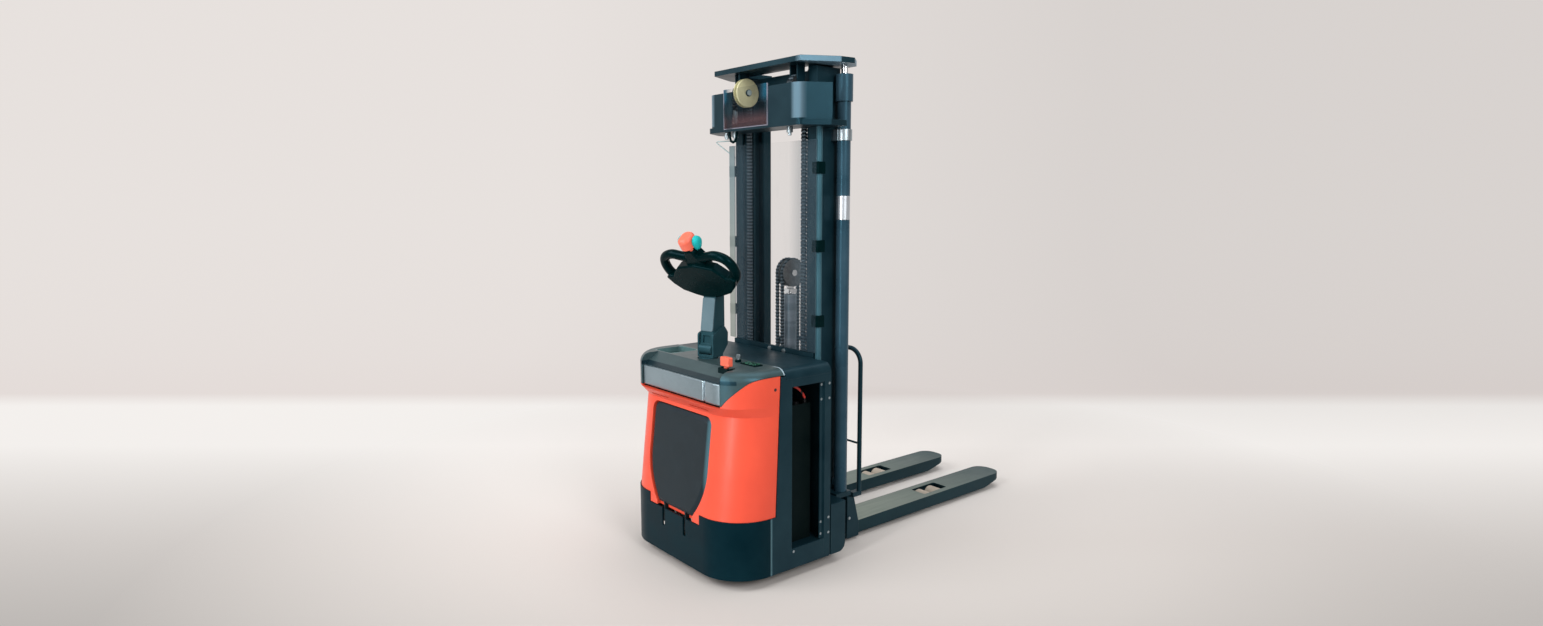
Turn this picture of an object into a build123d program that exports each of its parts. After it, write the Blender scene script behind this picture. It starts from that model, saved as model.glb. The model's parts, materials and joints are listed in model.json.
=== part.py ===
from build123d import *
import os

# Overall size, in millimetres, measured from the front of the truck and from the floor
body_width = 850
load_face = 870
fork_length = 1180
mast_height = 2230
overall_length = load_face + fork_length
half_body = body_width / 2

# Fits
running_gap = 0.05
moving_gap = 0.5
panel_gap = 2
seat_gap = 0.3

# Lower skirt
skirt_plate = 8
skirt_radius = 202
skirt_bottom = 46
skirt_top = 298
skirt_seam = 208
skirt_notch_half = 196
skirt_notch_floor = 252

# Front cover
cover_half = half_body - 4
cover_radius = 200
cover_wall = 6
cover_front_wall = 32
cover_foot = skirt_top + seat_gap
cover_foot_front = 4
cover_waist = 735
cover_waist_front = 53
cover_lip = 778
cover_lip_front = 12
cover_rear_low = 236
cover_rear_high = 262
cover_top = 899

# Dashboard and silver bar
dash_rear = 290
dash_top = 928
dash_round = 44
bar_half = half_body - 119
bar_left = half_body - 145
bar_front = 28
bar_thick = 12
bar_low = 787
bar_high = 875
tray_low = (95 - half_body, 125)
tray_high = (235 - half_body, 275)
tray_floor = 897
slope_rear = 116
stop_x = half_body - 167
stop_y = 106
stop_foot = dash_top + 3
stop_stem = 10
key_x = half_body - 255
key_y = 235
key_stem = 3
screen_low = (half_body - 215, 215)
screen_high = (half_body - 115, 258)

# Steel rear body
rear_front = 292
bulkhead_front = 318
rear_end = 550
panel_plate = 8
shoulder_z = 880
deck_top = 925
shoulder_radius = 44
window_front = 324
window_rear = 513
window_flange = 20
window_low = 135
window_high = 845
battery_floor_top = 130
battery_top = 745
cell_top = battery_top - 14

# Steering and drive
steer_y = 194
steer_rest = 15
deck_low = 300
deck_plate = 12
wheel_radius = 115
wheel_width = 70
tyre_depth = 25
turret_radius = 118
neck_radius = 95
motor_radius = 70
motor_top = 545
column_tube_radius = 28
drive_axle_radius = 15

# Castors
castor_x = half_body - 125
castor_y = 185
castor_trail = 40
castor_radius = 62
castor_width = 36
castor_pin = 10
castor_axle = 8

# Folding platform
platform_pivot_y = 22
platform_pivot_z = 205
platform_pin = 8
platform_arm_x = 82
platform_arm_width = 8
platform_slot_width = 20
platform_thick = 20
platform_low = 274
platform_high = 716
platform_top_half = 222
platform_foot_half = 132
platform_corner = 34

# Tiller
tiller_pivot_z = 968
tiller_lean = 7.6
tiller_pin = 9
column_half = 35
column_foot = 42
column_front = 13
column_back = 64
column_top_back = 42
column_length = 262
pivot_boss = 24
ear_plate = 9
ear_gap = 1
ear_front = 16
head_lean = 38.5
head_thick = 60
head_set = 11
neck_half = 32
head_top = 243
bowl_thick = 50
grip_radius = 21
wing_shaft = 6
wing_shaft_w = head_set + 1
wing_shaft_u = head_top - 11
wing_radius = 27
wing_stem = 11
wing_length = 24
wing_rise = 36
wing_inner = neck_half + 1
button_travel = 8
button_depth = 80
button_height = 52
button_post_x = 16
button_post_w = head_set - 16
button_post = 8

# Mast sections, each a channel that opens inwards
outer_half = 290
outer_front = 580
outer_rear = 718
outer_reach = 52
outer_web = 12
outer_flange = 12
outer_foot = 80
outer_top = mast_height - 31
middle_half = outer_half - 28
middle_front = 596
middle_rear = 702
middle_reach = 48
middle_web = 10
middle_flange = 12
middle_foot = 90
inner_half = middle_half - 24
inner_front = 612
inner_rear = 686
inner_reach = 46
inner_web = 10
inner_flange = 10
inner_foot = 100
inner_top = mast_height - 35
inner_lip_rear = 720
plate_thick = 23
plate_low = mast_height - plate_thick
roller_gap = 0.3
roller_y = (outer_front + outer_rear) / 2

# Lift cylinders beside the mast
ram_tube = 30
ram_bore = 24
ram_head = 38
ram_rod = 15
ram_x = outer_half + ram_head + 2
ram_y = 705
bracket_top = 280
bracket_rear = 646
ram_foot = bracket_top + 8
ram_head_low = mast_height - 178
ram_head_high = mast_height - 62

# Free lift cylinder inside the inner section
free_y = 680
free_tube = 32
free_bore = 24
free_rod_radius = 18
free_tube_top = mast_height / 2 + 65
free_pulley_z = free_tube_top + 103
free_chain_x = 17
free_chain_half = 8
free_chain_path = 64

# Lift chains
chain_x = inner_half - 42
chain_half = 15
chain_deep = 8
chain_path = 42.5
chain_pulley_y = 547.5
chain_pulley_z = mast_height - 110
chain_foot = 115
anchor_top = chain_pulley_z - 76

# Hose pulley
hose_pulley_x = -130
hose_pulley_y = 519
hose_pulley_z = mast_height - 113
hose_pulley_radius = 65

# Outer crosshead
cross_front = 443
cross_half = outer_half + 24
cross_end_x = cross_half + 77
cross_end_y = 576
cross_plate = 6
cross_bend = 66
cross_low = mast_height - 266
cross_high = mast_height - 112
cross_floor = cross_low - 24
cross_window_low_x = -140
cross_sheet_low_x = -199
cross_window_high_x = 108

# Clear guard in front of the mast
guard_half = outer_half + 22
guard_front = 556
guard_plate = 4
guard_low = 950
guard_high = mast_height - 344
guard_clip_heights = [guard_low + share * (guard_high - guard_low) for share in (0.15, 0.506, 0.87)]

# Hydraulic pipe in front of the right rail
pipe_radius = 14
pipe_x = outer_half + pipe_radius + 1
pipe_y = 582

# Forks, carriage and backrest
anchor_block_top = 240
fork_width = 160
fork_spread = 560
fork_top = 85
fork_depth = 62
fork_skin = 8
fork_side = 10
fork_rear = load_face - 38
fork_tip_radius = 66
fork_inner = fork_spread / 2 - fork_width
fork_outer = fork_spread / 2
fork_centre = (fork_inner + fork_outer) / 2
backrest_x = 302
backrest_y = load_face - 12
backrest_tube = 11
backrest_top = 930
backrest_foot = 245
backrest_bend = 70

# Base legs and load wheels
leg_half = 55
leg_low = 25
leg_high = 70
load_radius = 40
load_half = 40
load_axle = 10
load_wheel_front = load_face + 679
load_wheel_rear = load_wheel_front - 90
leg_end = load_wheel_front + 76


def block(x0, x1, y0, y1, z0, z1):
    centre = Pos((x0 + x1) / 2, (y0 + y1) / 2, (z0 + z1) / 2)
    return centre * Box(x1 - x0, y1 - y0, z1 - z0)


def post(x, y, z0, z1, radius):
    return Pos(x, y, (z0 + z1) / 2) * Cylinder(radius, z1 - z0)


def bar_x(x0, x1, y, z, radius):
    return Pos((x0 + x1) / 2, y, z) * Rot(0, 90, 0) * Cylinder(radius, x1 - x0)


def side_plate(points, x0, x1):
    face = Plane.YZ.offset(x0) * Polygon(*points, align=None)
    return extrude(face, x1 - x0, dir=(1, 0, 0))


def plan_plate(points, z0, z1):
    face = Plane.XY.offset(z0) * Polygon(*points, align=None)
    return extrude(face, z1 - z0, dir=(0, 0, 1))


def plan_outline(half, front, radius, rear, z):
    sheet = Pos(0, (front + rear) / 2) * Rectangle(2 * half, rear - front)
    sheet = fillet(sheet.vertices().group_by(Axis.Y)[0], radius)
    return Plane.XY.offset(z) * sheet


def plan_block(half, front, radius, rear, z0, z1):
    return extrude(plan_outline(half, front, radius, rear, z0), z1 - z0)


def other_side(shape):
    return mirror(shape, Plane.YZ)


def both_sides(shape):
    return [shape, other_side(shape)]


def save(node, *shapes):
    moved = []
    for shape in shapes:
        for solid in shape.solids():
            moved.append(Pos(0, -overall_length / 2, 0) * solid)
    export_step(Compound(moved), "parts/" + node + ".step")


# Lower skirt
def front_skirt():
    outer = plan_block(half_body, 0, skirt_radius, skirt_seam, skirt_bottom, skirt_top)
    inner = plan_block(half_body - skirt_plate, skirt_plate, skirt_radius - skirt_plate,
                       skirt_seam + 10, skirt_bottom - 1, skirt_top + 1)
    skirt = outer - inner
    skirt -= block(-skirt_notch_half, skirt_notch_half, -1, 40, skirt_notch_floor, skirt_top + 1)
    for x in (-platform_arm_x, platform_arm_x):
        half = platform_slot_width / 2
        skirt -= block(x - half, x + half, -1, 40, 172, skirt_notch_floor + 1)
    return skirt


# Seam between cover and dashboard, seen from the side
def seam_region(drop):
    curve = Spline((36, 785 - drop), (55, 823 - drop), (84, 857 - drop), (118, 884 - drop),
                   (157, 895 - drop), (203, cover_top - drop))
    top_line = Polyline((203, cover_top - drop), (400, cover_top - drop), (400, 1200),
                        (-100, 1200), (-100, 785 - drop), (36, 785 - drop))
    face = Plane.YZ.offset(-500) * make_face(Curve() + [curve, top_line])
    return extrude(face, 1000, dir=(1, 0, 0))


def cover_block(half, front_step, radius, rear):
    foot = plan_outline(half, cover_foot_front + front_step, radius, rear, cover_foot - 1)
    waist = plan_outline(half, cover_waist_front + front_step, radius, rear, cover_waist)
    lip = plan_outline(half, cover_lip_front + front_step, radius, rear, cover_lip)
    low = loft([foot, waist], ruled=True)
    high = loft([waist, lip], ruled=True)
    top = plan_block(half, cover_lip_front + front_step, radius, rear, cover_lip, cover_top + 20)
    return low + high + top


def platform_plane():
    rise = cover_waist - cover_foot
    lean = (cover_waist_front - cover_foot_front) / rise
    low_y = cover_foot_front + (platform_low - cover_foot) * lean
    return Plane(origin=(0, low_y, platform_low), x_dir=(1, 0, 0), z_dir=(0, -1, lean))


def platform_face(margin):
    tall = platform_high - platform_low + margin
    foot = platform_foot_half + margin
    top = platform_top_half + margin
    side = Spline((foot, 0), (176 + margin, 60), (208 + margin, 130), (top, 230))
    edge = Polyline((top, 230), (top, tall), (0, tall), (0, 0), (foot, 0))
    half = make_face(Curve() + [side, edge])
    corner = [v for v in half.vertices() if v.Y > tall - 1 and v.X > 10]
    half = fillet(corner, platform_corner + margin)
    return half + mirror(half, Plane.YZ)


def front_cover():
    shell = cover_block(cover_half, 0, cover_radius, 320)
    hollow = cover_block(cover_half - cover_wall, cover_front_wall, cover_radius - cover_front_wall, 330)
    hollow += plan_block(cover_half - cover_wall, cover_foot_front + cover_front_wall,
                         cover_radius - cover_front_wall, 330, cover_foot - 20, cover_foot + 1)
    cover = shell - hollow
    tab_half = skirt_notch_half - panel_gap
    cover += block(-tab_half, tab_half, 3, 34, skirt_notch_floor + panel_gap, cover_foot + 3)
    cover -= both_sides(block(tab_half, 500, -50, 400, cover_foot - 5, cover_foot))
    cover -= side_plate([(cover_rear_low, cover_foot - 60), (cover_rear_low, cover_foot),
                         (cover_rear_high, cover_top), (cover_rear_high, 1000), (400, 1000),
                         (400, cover_foot - 60)], -500, 500)
    cover -= seam_region(0)
    cover -= block(-bar_left - 3, bar_half + 3, 0, bar_front + bar_thick + 1, bar_low - 9, 1000)
    mouth = platform_face(6) + Pos(0, -30) * Rectangle(2 * platform_foot_half + 12, 60)
    outward = platform_plane().z_dir
    cover -= extrude(platform_plane() * mouth, 60, dir=outward)
    cover -= extrude(platform_plane() * mouth, platform_thick + 2, dir=-outward)
    for x in (-platform_arm_x, platform_arm_x):
        half = platform_slot_width / 2
        cover -= block(x - half, x + half, -10, 60, skirt_notch_floor - 5, 332)
    for x in (-150, 150):
        cover -= block(x - 70, x + 70, 0, 52, 750, 755)
    return cover


def dashboard():
    shell = plan_block(cover_half, cover_lip_front, cover_radius, dash_rear, 760, dash_top)
    rim = shell.faces().sort_by(Axis.Z)[-1].edges()
    rim = [edge for edge in rim if edge.center().Y < dash_rear - 1]
    shell = fillet(rim, dash_round)
    hollow = plan_block(cover_half - dash_round - 5, 125, 80, 320, 750, dash_top - 14)
    hollow += plan_block(cover_half - 10, 125, 80, 320, 750, shoulder_z - 2)
    hollow -= block(tray_low[0] - 8, tray_high[0] + 8, tray_low[1] - 8, tray_high[1] + 8,
                    tray_floor - 8, dash_top)
    shell -= hollow
    shell &= seam_region(-1.5)
    shell -= block(-bar_left - 2, bar_half + 2, 0, bar_front + bar_thick, 700, bar_high + 3)
    shell -= side_plate([(-20, bar_high + 3), (bar_front + bar_thick, bar_high + 3), (slope_rear, dash_top),
                         (slope_rear, dash_top + 1), (-20, dash_top + 1)], -bar_left - 2, bar_half + 2)
    tray = block(tray_low[0], tray_high[0], tray_low[1], tray_high[1], tray_floor, dash_top + 1)
    shell -= fillet(tray.edges().filter_by(Axis.Z), 25)
    shell -= post(0, steer_y, 800, 1000, column_foot + 4)
    shell -= post(stop_x, stop_y, stop_foot - 12, dash_top + 5, stop_stem + 1)
    return shell


# Height of the dashboard's front slope
def slope_height(y):
    foot = bar_front + bar_thick
    return bar_high + 3 + (dash_top - bar_high - 3) * (y - foot) / (slope_rear - foot)


def front_bar():
    bar = block(-bar_left, bar_half, bar_front, bar_front + bar_thick, bar_low, bar_high)
    return bar - block(206, 209, bar_front - 1, bar_front + 3, bar_low - 1, bar_high + 1)


# Steel rear body
def side_panel():
    shape = [(skirt_seam + panel_gap, skirt_bottom), (skirt_seam + panel_gap, skirt_top),
             (cover_rear_low + panel_gap, skirt_top), (cover_rear_high + panel_gap, cover_top - 3),
             (dash_rear, cover_top - 3), (dash_rear, shoulder_z), (rear_end, shoulder_z),
             (rear_end, skirt_bottom)]
    inside = half_body - panel_plate
    sheet = side_plate(shape, inside, half_body)
    front = sheet & block(0, half_body, 0, window_front, 0, 1000)
    rear = sheet & block(0, half_body, window_rear, rear_end, 0, 1000)
    sill = sheet & block(0, half_body, window_front, window_rear, 0, window_low)
    header = sheet & block(0, half_body, window_front, window_rear, window_high, 1000)
    rear += block(inside - 6, inside, window_rear - window_flange, window_rear + 8, window_low, window_high)
    for x, y, z in bolt_points():
        rear -= bar_x(x - 5, x + 5, y, z, 6.1)
        sill -= bar_x(x - 5, x + 5, y, z, 6.1)
    return [front, rear, sill, header]


def side_panels():
    pieces = []
    for piece in side_panel():
        pieces += both_sides(piece)
    return pieces


# Faces the bolt heads sit in: flange, rear edge and sill
def bolt_points():
    points = [(half_body - panel_plate, window_rear - 12, z) for z in (157, 212, 767, 832)]
    points += [(half_body, rear_end - 9, z) for z in (156, 226, 768, 834)]
    return points + [(half_body, window_front + 12, window_low - 14)]


def panel_bolts():
    bolts = []
    for x, y, z in bolt_points():
        bolts += both_sides(bar_x(x - 5, x - 0.5, y, z, 6))
    return bolts


def top_deck():
    outer = block(-half_body, half_body, rear_front, rear_end, shoulder_z, deck_top)
    inner = block(panel_plate - half_body, half_body - panel_plate, rear_front - 1, rear_end + 1,
                  shoulder_z - 20, deck_top - panel_plate)
    crown = [e for e in outer.edges().filter_by(Axis.Y) if e.center().Z > deck_top - 1]
    outer = fillet(crown, shoulder_radius)
    under = [e for e in inner.edges().filter_by(Axis.Y) if e.center().Z > deck_top - 20]
    inner = fillet(under, shoulder_radius - panel_plate)
    return outer - inner


def chassis_plates():
    inside = half_body - panel_plate
    bulkhead = block(-inside, inside, bulkhead_front, bulkhead_front + 6, battery_floor_top,
                     deck_top - panel_plate)
    corner = [e for e in bulkhead.edges().filter_by(Axis.Y) if e.center().Z > deck_top - 20]
    bulkhead = fillet(corner, shoulder_radius)
    rear_wall = block(-inside, inside, rear_end - 8, rear_end, skirt_bottom, deck_top - panel_plate)
    corner = [e for e in rear_wall.edges().filter_by(Axis.Y) if e.center().Z > deck_top - 20]
    rear_wall = fillet(corner, shoulder_radius)
    floor = block(-inside, inside, bulkhead_front, rear_end - 8, battery_floor_top - 8, battery_floor_top)
    deck = plan_block(half_body - 20, 42, 160, bulkhead_front, deck_low, deck_low + deck_plate)
    deck -= post(0, steer_y, deck_low - 1, deck_low + deck_plate + 1, neck_radius + 5)
    ledges = both_sides(block(inside - 21, inside, skirt_radius + 1, bulkhead_front, deck_low - 20, deck_low))
    return [bulkhead, rear_wall, floor, deck] + ledges


# Battery
def battery_case():
    case = block(-360, 360, 330, 488, battery_floor_top, battery_top)
    case -= block(-355, 355, 335, 483, battery_floor_top + 5, battery_top + 1)
    cells = []
    for i in range(12):
        x = -355 + i * 710 / 12
        cells.append(block(x + 1, x + 710 / 12 - 1, 336, 482, battery_floor_top + 5, cell_top))
    return [case] + cells


def battery_caps():
    caps = []
    for i in range(12):
        x = -355 + (i + 0.5) * 710 / 12
        for y in (370, 430):
            caps.append(post(x, y, cell_top, cell_top + 18, 15))
    return caps + [battery_cable()]


# Red cable from the bulkhead down to the battery's outer terminal
def battery_cable():
    x = 340
    wall = bulkhead_front + 6
    rise = battery_top - 745
    path = Spline((x, wall, 842 + rise), (x, 398, 828 + rise), (x, 436, 808 + rise), (x, 458, 784 + rise),
                  (x, 470, cell_top + 20), tangents=((0, 1, 0), (0, 0, -1)))
    ring = Plane(origin=path @ 0, z_dir=path % 0) * Circle(6)
    return sweep(ring, path=path) + post(x, 470, cell_top, cell_top + 22, 9)


# Hydraulic unit and controller
def power_units():
    floor = deck_low + deck_plate
    tank = fillet(block(-335, -165, 130, 288, floor, 520).edges().filter_by(Axis.Z), 18)
    motor = post(-250, 209, 520, 700, 58)
    box = block(180, 345, 230, bulkhead_front, floor, 560)
    fins = [block(185 + i * 20, 193 + i * 20, 215, 230, floor + 20, 540) for i in range(8)]
    return [tank, motor, box + fins]


# Steering and drive
def deck_fittings():
    floor = deck_low + deck_plate
    ring = post(0, steer_y, floor, floor + 18, turret_radius + 2)
    ring -= post(0, steer_y, floor - 1, floor + 19, neck_radius + running_gap)
    plate = block(castor_x - 42, castor_x + 42, castor_y - 42, castor_y + 42, deck_low - 8, deck_low)
    plate += post(castor_x, castor_y, deck_low - 40, deck_low - 8, castor_pin)
    return [ring] + both_sides(plate)


def turned(shape):
    there = Pos(0, steer_y, 0) * Rot(0, 0, steer_rest)
    return there * shape


def drive_turret():
    gearbox = fillet(block(42, 105, -62, 62, 48, 262).edges().filter_by(Axis.X), 24)
    body = gearbox + post(0, 0, 262, deck_low - 8, turret_radius)
    body += post(0, 0, deck_low - 8, deck_low + deck_plate + 20, neck_radius)
    body += bar_x(-34, 42, 0, wheel_radius, drive_axle_radius)
    motor = post(0, 0, deck_low + deck_plate + 20, motor_top, motor_radius)
    for i in range(12):
        motor -= Rot(0, 0, 30 * i) * block(motor_radius - 4, motor_radius + 4, -4, 4, 370, motor_top - 30)
    return [turned(body), turned(motor)]


def drive_wheel():
    rim = wheel_radius - tyre_depth
    tyre = bar_x(-wheel_width / 2, wheel_width / 2, 0, wheel_radius, wheel_radius)
    edges = tyre.edges().filter_by(GeomType.CIRCLE)
    tyre = fillet(edges, 6) - bar_x(-60, 60, 0, wheel_radius, rim)
    hub = bar_x(-wheel_width / 2 + 4, wheel_width / 2 - 4, 0, wheel_radius, rim)
    hub -= bar_x(-60, 60, 0, wheel_radius, drive_axle_radius + running_gap)
    for i in range(6):
        turn = Pos(0, 0, wheel_radius) * Rot(60 * i, 0, 0) * Pos(0, 0, -wheel_radius)
        hub -= turn * bar_x(-60, 60, 55, wheel_radius, 12)
    return [turned(tyre), turned(hub)]


def steering_column():
    tube = post(0, 0, motor_top, dash_top + 5, column_tube_radius)
    foot = post(0, 0, dash_top - 8, dash_top + 5, column_foot)
    ear_side = column_half + ear_gap
    edge = ear_side + ear_plate
    foot += block(-edge, edge, -ear_front, 54, dash_top + 5, dash_top + 15)
    ear = side_plate([(-ear_front, dash_top + 5), (-ear_front, tiller_pivot_z + 67),
                      (65, tiller_pivot_z + 100), (90, tiller_pivot_z + 68), (88, tiller_pivot_z + 13),
                      (44, dash_top + 5)], ear_side, edge)
    high = [e for e in ear.edges().filter_by(Axis.X) if e.center().Z > tiller_pivot_z]
    ear = fillet(high, 12)
    base = tube + foot + ear + other_side(ear)
    base += bar_x(-column_half - 4, column_half + 4, 0, tiller_pivot_z, tiller_pin)
    return turned(base)


# Castors
def castor_fork():
    head = post(castor_x, castor_y, 262, deck_low - 9, 32)
    wheel_y = castor_y + castor_trail
    crown = block(castor_x - 31, castor_x + 31, castor_y - 30, castor_y + 46, 236, 262)
    fork = head + crown
    for x0 in (castor_x - 31, castor_x + 23):
        fork += side_plate([(castor_y - 30, 240), (castor_y + 46, 240), (wheel_y + 16, castor_radius),
                            (wheel_y, castor_radius - 16), (wheel_y - 16, castor_radius)], x0, x0 + 8)
    fork += bar_x(castor_x - 31, castor_x + 31, wheel_y, castor_radius, castor_axle)
    fork -= post(castor_x, castor_y, deck_low - 41, deck_low, castor_pin + running_gap)
    return fork


def castor_wheel():
    wheel_y = castor_y + castor_trail
    half = castor_width / 2
    wheel = bar_x(castor_x - half, castor_x + half, wheel_y, castor_radius, castor_radius)
    wheel = fillet(wheel.edges().filter_by(GeomType.CIRCLE), 5)
    wheel -= bar_x(castor_x - 60, castor_x + 60, wheel_y, castor_radius, castor_axle + running_gap)
    return wheel


# Folding platform
def platform():
    plane = platform_plane()
    pad = extrude(plane * platform_face(0), platform_thick, dir=-plane.z_dir)
    lift = platform_pivot_z
    for x in (-platform_arm_x, platform_arm_x):
        x0 = x - platform_arm_width / 2
        x1 = x + platform_arm_width / 2
        pad += side_plate([(platform_pivot_y - 14, lift), (platform_pivot_y + 12, lift), (32, 300),
                           (24, 330), (8, 330), (4, 276)], x0, x1)
        pad += bar_x(x0, x1, platform_pivot_y, lift, 16)
    pad -= bar_x(-200, 200, platform_pivot_y, lift, platform_pin + running_gap)
    return pad


def platform_hinge():
    hinge = bar_x(-112, 112, platform_pivot_y, platform_pivot_z, platform_pin)
    for x in (-platform_arm_x, platform_arm_x):
        for x0 in (x - 18, x + 6):
            hinge += block(x0, x0 + 12, skirt_plate, 40, platform_pivot_z - 18, platform_pivot_z + 18)
    return hinge


# Tiller, built upright about its pivot and then leaned and turned
def leaned(shape):
    return turned(Pos(0, 0, tiller_pivot_z) * Rot(-tiller_lean, 0, 0) * shape)


def head_place():
    return Pos(0, 0, column_length) * Rot(tiller_lean + head_lean, 0, 0)


def column_core():
    core = side_plate([(-column_front, 0), (-column_front, column_length), (column_top_back, column_length),
                       (column_back, 110), (column_back, 0)], -column_half, column_half)
    core += bar_x(-column_half, column_half, 0, 0, pivot_boss)
    return core


def tiller_column():
    core = column_core()
    core -= bar_x(-100, 100, 0, 0, tiller_pin + running_gap)
    core -= block(-20, 20, -pivot_boss - 1, 7 - column_front, 26, 58)
    return leaned(core)


def tiller_cover():
    cover = block(1 - column_half, column_half - 1, -column_front - 5, -column_front, 78, column_length - 35)
    return leaned(fillet(cover.edges().filter_by(Axis.Y), 8))


def head_core():
    core = head_slab([(0, -10), (40, -10), (58, 30), (62, 90), (54, 150), (46, 194), (neck_half, 220),
                      (neck_half, head_top), (0, head_top)], head_thick, 13)
    bowl = head_slab([(0, -14), (40, -14), (70, -6), (134, 18), (172, 54), (196, 94), (178, 106), (150, 104),
                      (128, 128), (98, 156), (0, 172)], bowl_thick, 8)
    return Pos(0, head_set, 0) * core + Pos(0, -8, 0) * bowl


def head_slab(right, thick, rounding):
    left = [(-x, u) for x, u in reversed(right)]
    outline = Polygon(*(right + left[1:-1]), align=None)
    slab = extrude(Plane.XZ * outline, thick / 2, both=True)
    return fillet(slab.edges(), rounding)


def tiller_head():
    core = head_core()
    core -= bar_x(-100, 100, wing_shaft_w, wing_shaft_u, wing_shaft + running_gap)
    for x in (-button_post_x, button_post_x):
        core -= post(x, button_post_w, head_top - 25, head_top + 20, button_post + running_gap)
    core -= block(-12.6, 12.6, head_set + 18, head_set + 60, 128.5, 171.5)
    core -= Pos(0, head_set + 40, 205) * Rot(90, 0, 0) * Cylinder(9.6, 44)
    core = head_place() * core
    core -= column_core()
    return leaned(core)


def tiller_grip():
    path = Spline((30, 0, 194), (60, 0, 198), (85, 0, 203), (110, 0, 208), (140, 0, 204), (172, 0, 186),
                  (188, 0, 155), (190, 0, 125), (183, 0, 98), (155, 0, 70), (120, 0, 45))
    ring = Plane(origin=path @ 0, z_dir=path % 0) * Circle(grip_radius)
    return sweep(ring, path=path)


def tiller_grips():
    core = head_core()
    grip = tiller_grip() - core
    grip = sorted(grip.solids(), key=lambda solid: solid.volume)[-1]
    placed = []
    for one in both_sides(grip):
        one = head_place() * one
        one = one - column_core()
        placed.append(leaned(one))
    return placed


def belly_button():
    foot = head_top + button_travel + 2
    depth = button_depth / 2
    knob = block(-neck_half, neck_half, head_set - depth, head_set + depth, foot, foot + button_height)
    knob = fillet(knob.edges().filter_by(Axis.Z), neck_half - 2)
    knob = fillet(knob.faces().sort_by(Axis.Z)[-1].edges(), 18)
    for x in (-button_post_x, button_post_x):
        knob += post(x, button_post_w, head_top - 12, foot, button_post)
    return leaned(head_place() * knob)


def thumb_wings():
    end = wing_inner + wing_length
    shaft = bar_x(-end, end, wing_shaft_w, wing_shaft_u, wing_shaft)
    wing = bar_x(wing_inner, end, wing_shaft_w + 5, wing_shaft_u + wing_rise, wing_radius)
    wing = fillet(wing.edges().filter_by(GeomType.CIRCLE), 5)
    stem = bar_x(wing_inner, end, wing_shaft_w, wing_shaft_u, wing_stem)
    stem += block(wing_inner, end, wing_shaft_w - wing_stem, wing_shaft_w + wing_stem,
                  wing_shaft_u, wing_shaft_u + wing_rise)
    wing += stem
    shaft += wing + other_side(wing)
    return leaned(head_place() * shaft)


def lift_rocker():
    rocker = block(-12, 12, head_set + 26, head_set + 36, 130, 170)
    return leaned(head_place() * fillet(rocker.edges().filter_by(Axis.X), 3))


def horn_button():
    knob = Pos(0, head_set + 31, 205) * Rot(90, 0, 0) * Cylinder(9, 9)
    return leaned(head_place() * knob)


# Switches on the dashboard
def switch_bases():
    plinth = side_plate([(stop_y - 20, slope_height(stop_y - 20)), (slope_rear, dash_top),
                         (stop_y + 20, dash_top), (stop_y + 20, stop_foot), (stop_y - 20, stop_foot)],
                        stop_x - 33, stop_x + 33)
    plinth -= post(stop_x, stop_y, 800, 1000, stop_stem + running_gap)
    barrel = post(key_x, key_y, dash_top, dash_top + 10, 14)
    barrel -= post(key_x, key_y, dash_top + 3, dash_top + 11, key_stem + running_gap)
    screen = block(screen_low[0], screen_high[0], screen_low[1], screen_high[1], dash_top, dash_top + 5)
    return [plinth, barrel, screen]


def emergency_knob():
    knob = block(stop_x - 28, stop_x + 28, stop_y - 14, stop_y + 14, stop_foot + 6, stop_foot + 46)
    return fillet(knob.edges(), 6) + post(stop_x, stop_y, stop_foot - 2, stop_foot + 8, stop_stem)


def key():
    blade = block(key_x - 13, key_x + 13, key_y - 1.5, key_y + 1.5, dash_top + 11, dash_top + 34)
    blade = fillet(blade.edges().filter_by(Axis.Y), 8)
    return blade + post(key_x, key_y, dash_top + 4, dash_top + 12, key_stem)


# Mast
def channel(half, reach, front, rear, web, flange, z0, z1):
    rail = block(half - reach, half, front, rear, z0, z1)
    rail -= block(half - reach - 1, half - web, front + flange, rear - flange, z0 - 1, z1 + 1)
    return rail


def outer_mast():
    rail = channel(outer_half, outer_reach, outer_front, outer_rear, outer_web, outer_flange,
                   outer_foot, outer_top)
    low_beam = block(-outer_half, outer_half, outer_front - 14, outer_front, outer_foot, 240)
    high_beam = block(-outer_half, outer_half, outer_front - 14, outer_front, 880, 944)
    return both_sides(rail) + [low_beam, high_beam]


def middle_mast():
    rail = channel(middle_half, middle_reach, middle_front, middle_rear, middle_web, middle_flange,
                   middle_foot, plate_low)
    rail += bar_x(middle_half, middle_half + 13, roller_y, middle_foot + 70, 15)
    reach = middle_half - middle_reach
    tie = block(-reach, reach, middle_front, middle_rear, middle_foot, middle_foot + 8)
    return both_sides(rail) + [tie, top_plate()]


def top_plate():
    notch = middle_half - 21
    right = [(0, 467), (outer_half + 16, 467), (outer_half + 100, 622), (outer_half + 108, 698),
             (outer_half + 50, 768), (notch, 768), (notch, 604), (0, 604)]
    left = [(-x, y) for x, y in reversed(right)]
    plate = plan_plate(right + left[1:-1], plate_low, mast_height)
    reach = chain_half + 11
    cheek = block(chain_x - reach, chain_x - reach + 6, chain_pulley_y - 22, chain_pulley_y + 22,
                  chain_pulley_z - 30, plate_low)
    cheek += block(chain_x + reach - 6, chain_x + reach, chain_pulley_y - 22, chain_pulley_y + 22,
                   chain_pulley_z - 30, plate_low)
    cheek += bar_x(chain_x - reach, chain_x + reach, chain_pulley_y, chain_pulley_z, 10)
    plate += cheek + other_side(cheek)
    x = hose_pulley_x
    plate += block(x - 26, x - 18, hose_pulley_y - 24, hose_pulley_y + 24, hose_pulley_z - 24, plate_low)
    plate += bar_x(x - 20, x + 20, hose_pulley_y, hose_pulley_z, 9)
    plate += bar_x(x + 16, x + 24, hose_pulley_y, hose_pulley_z, 15)
    return plate


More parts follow.
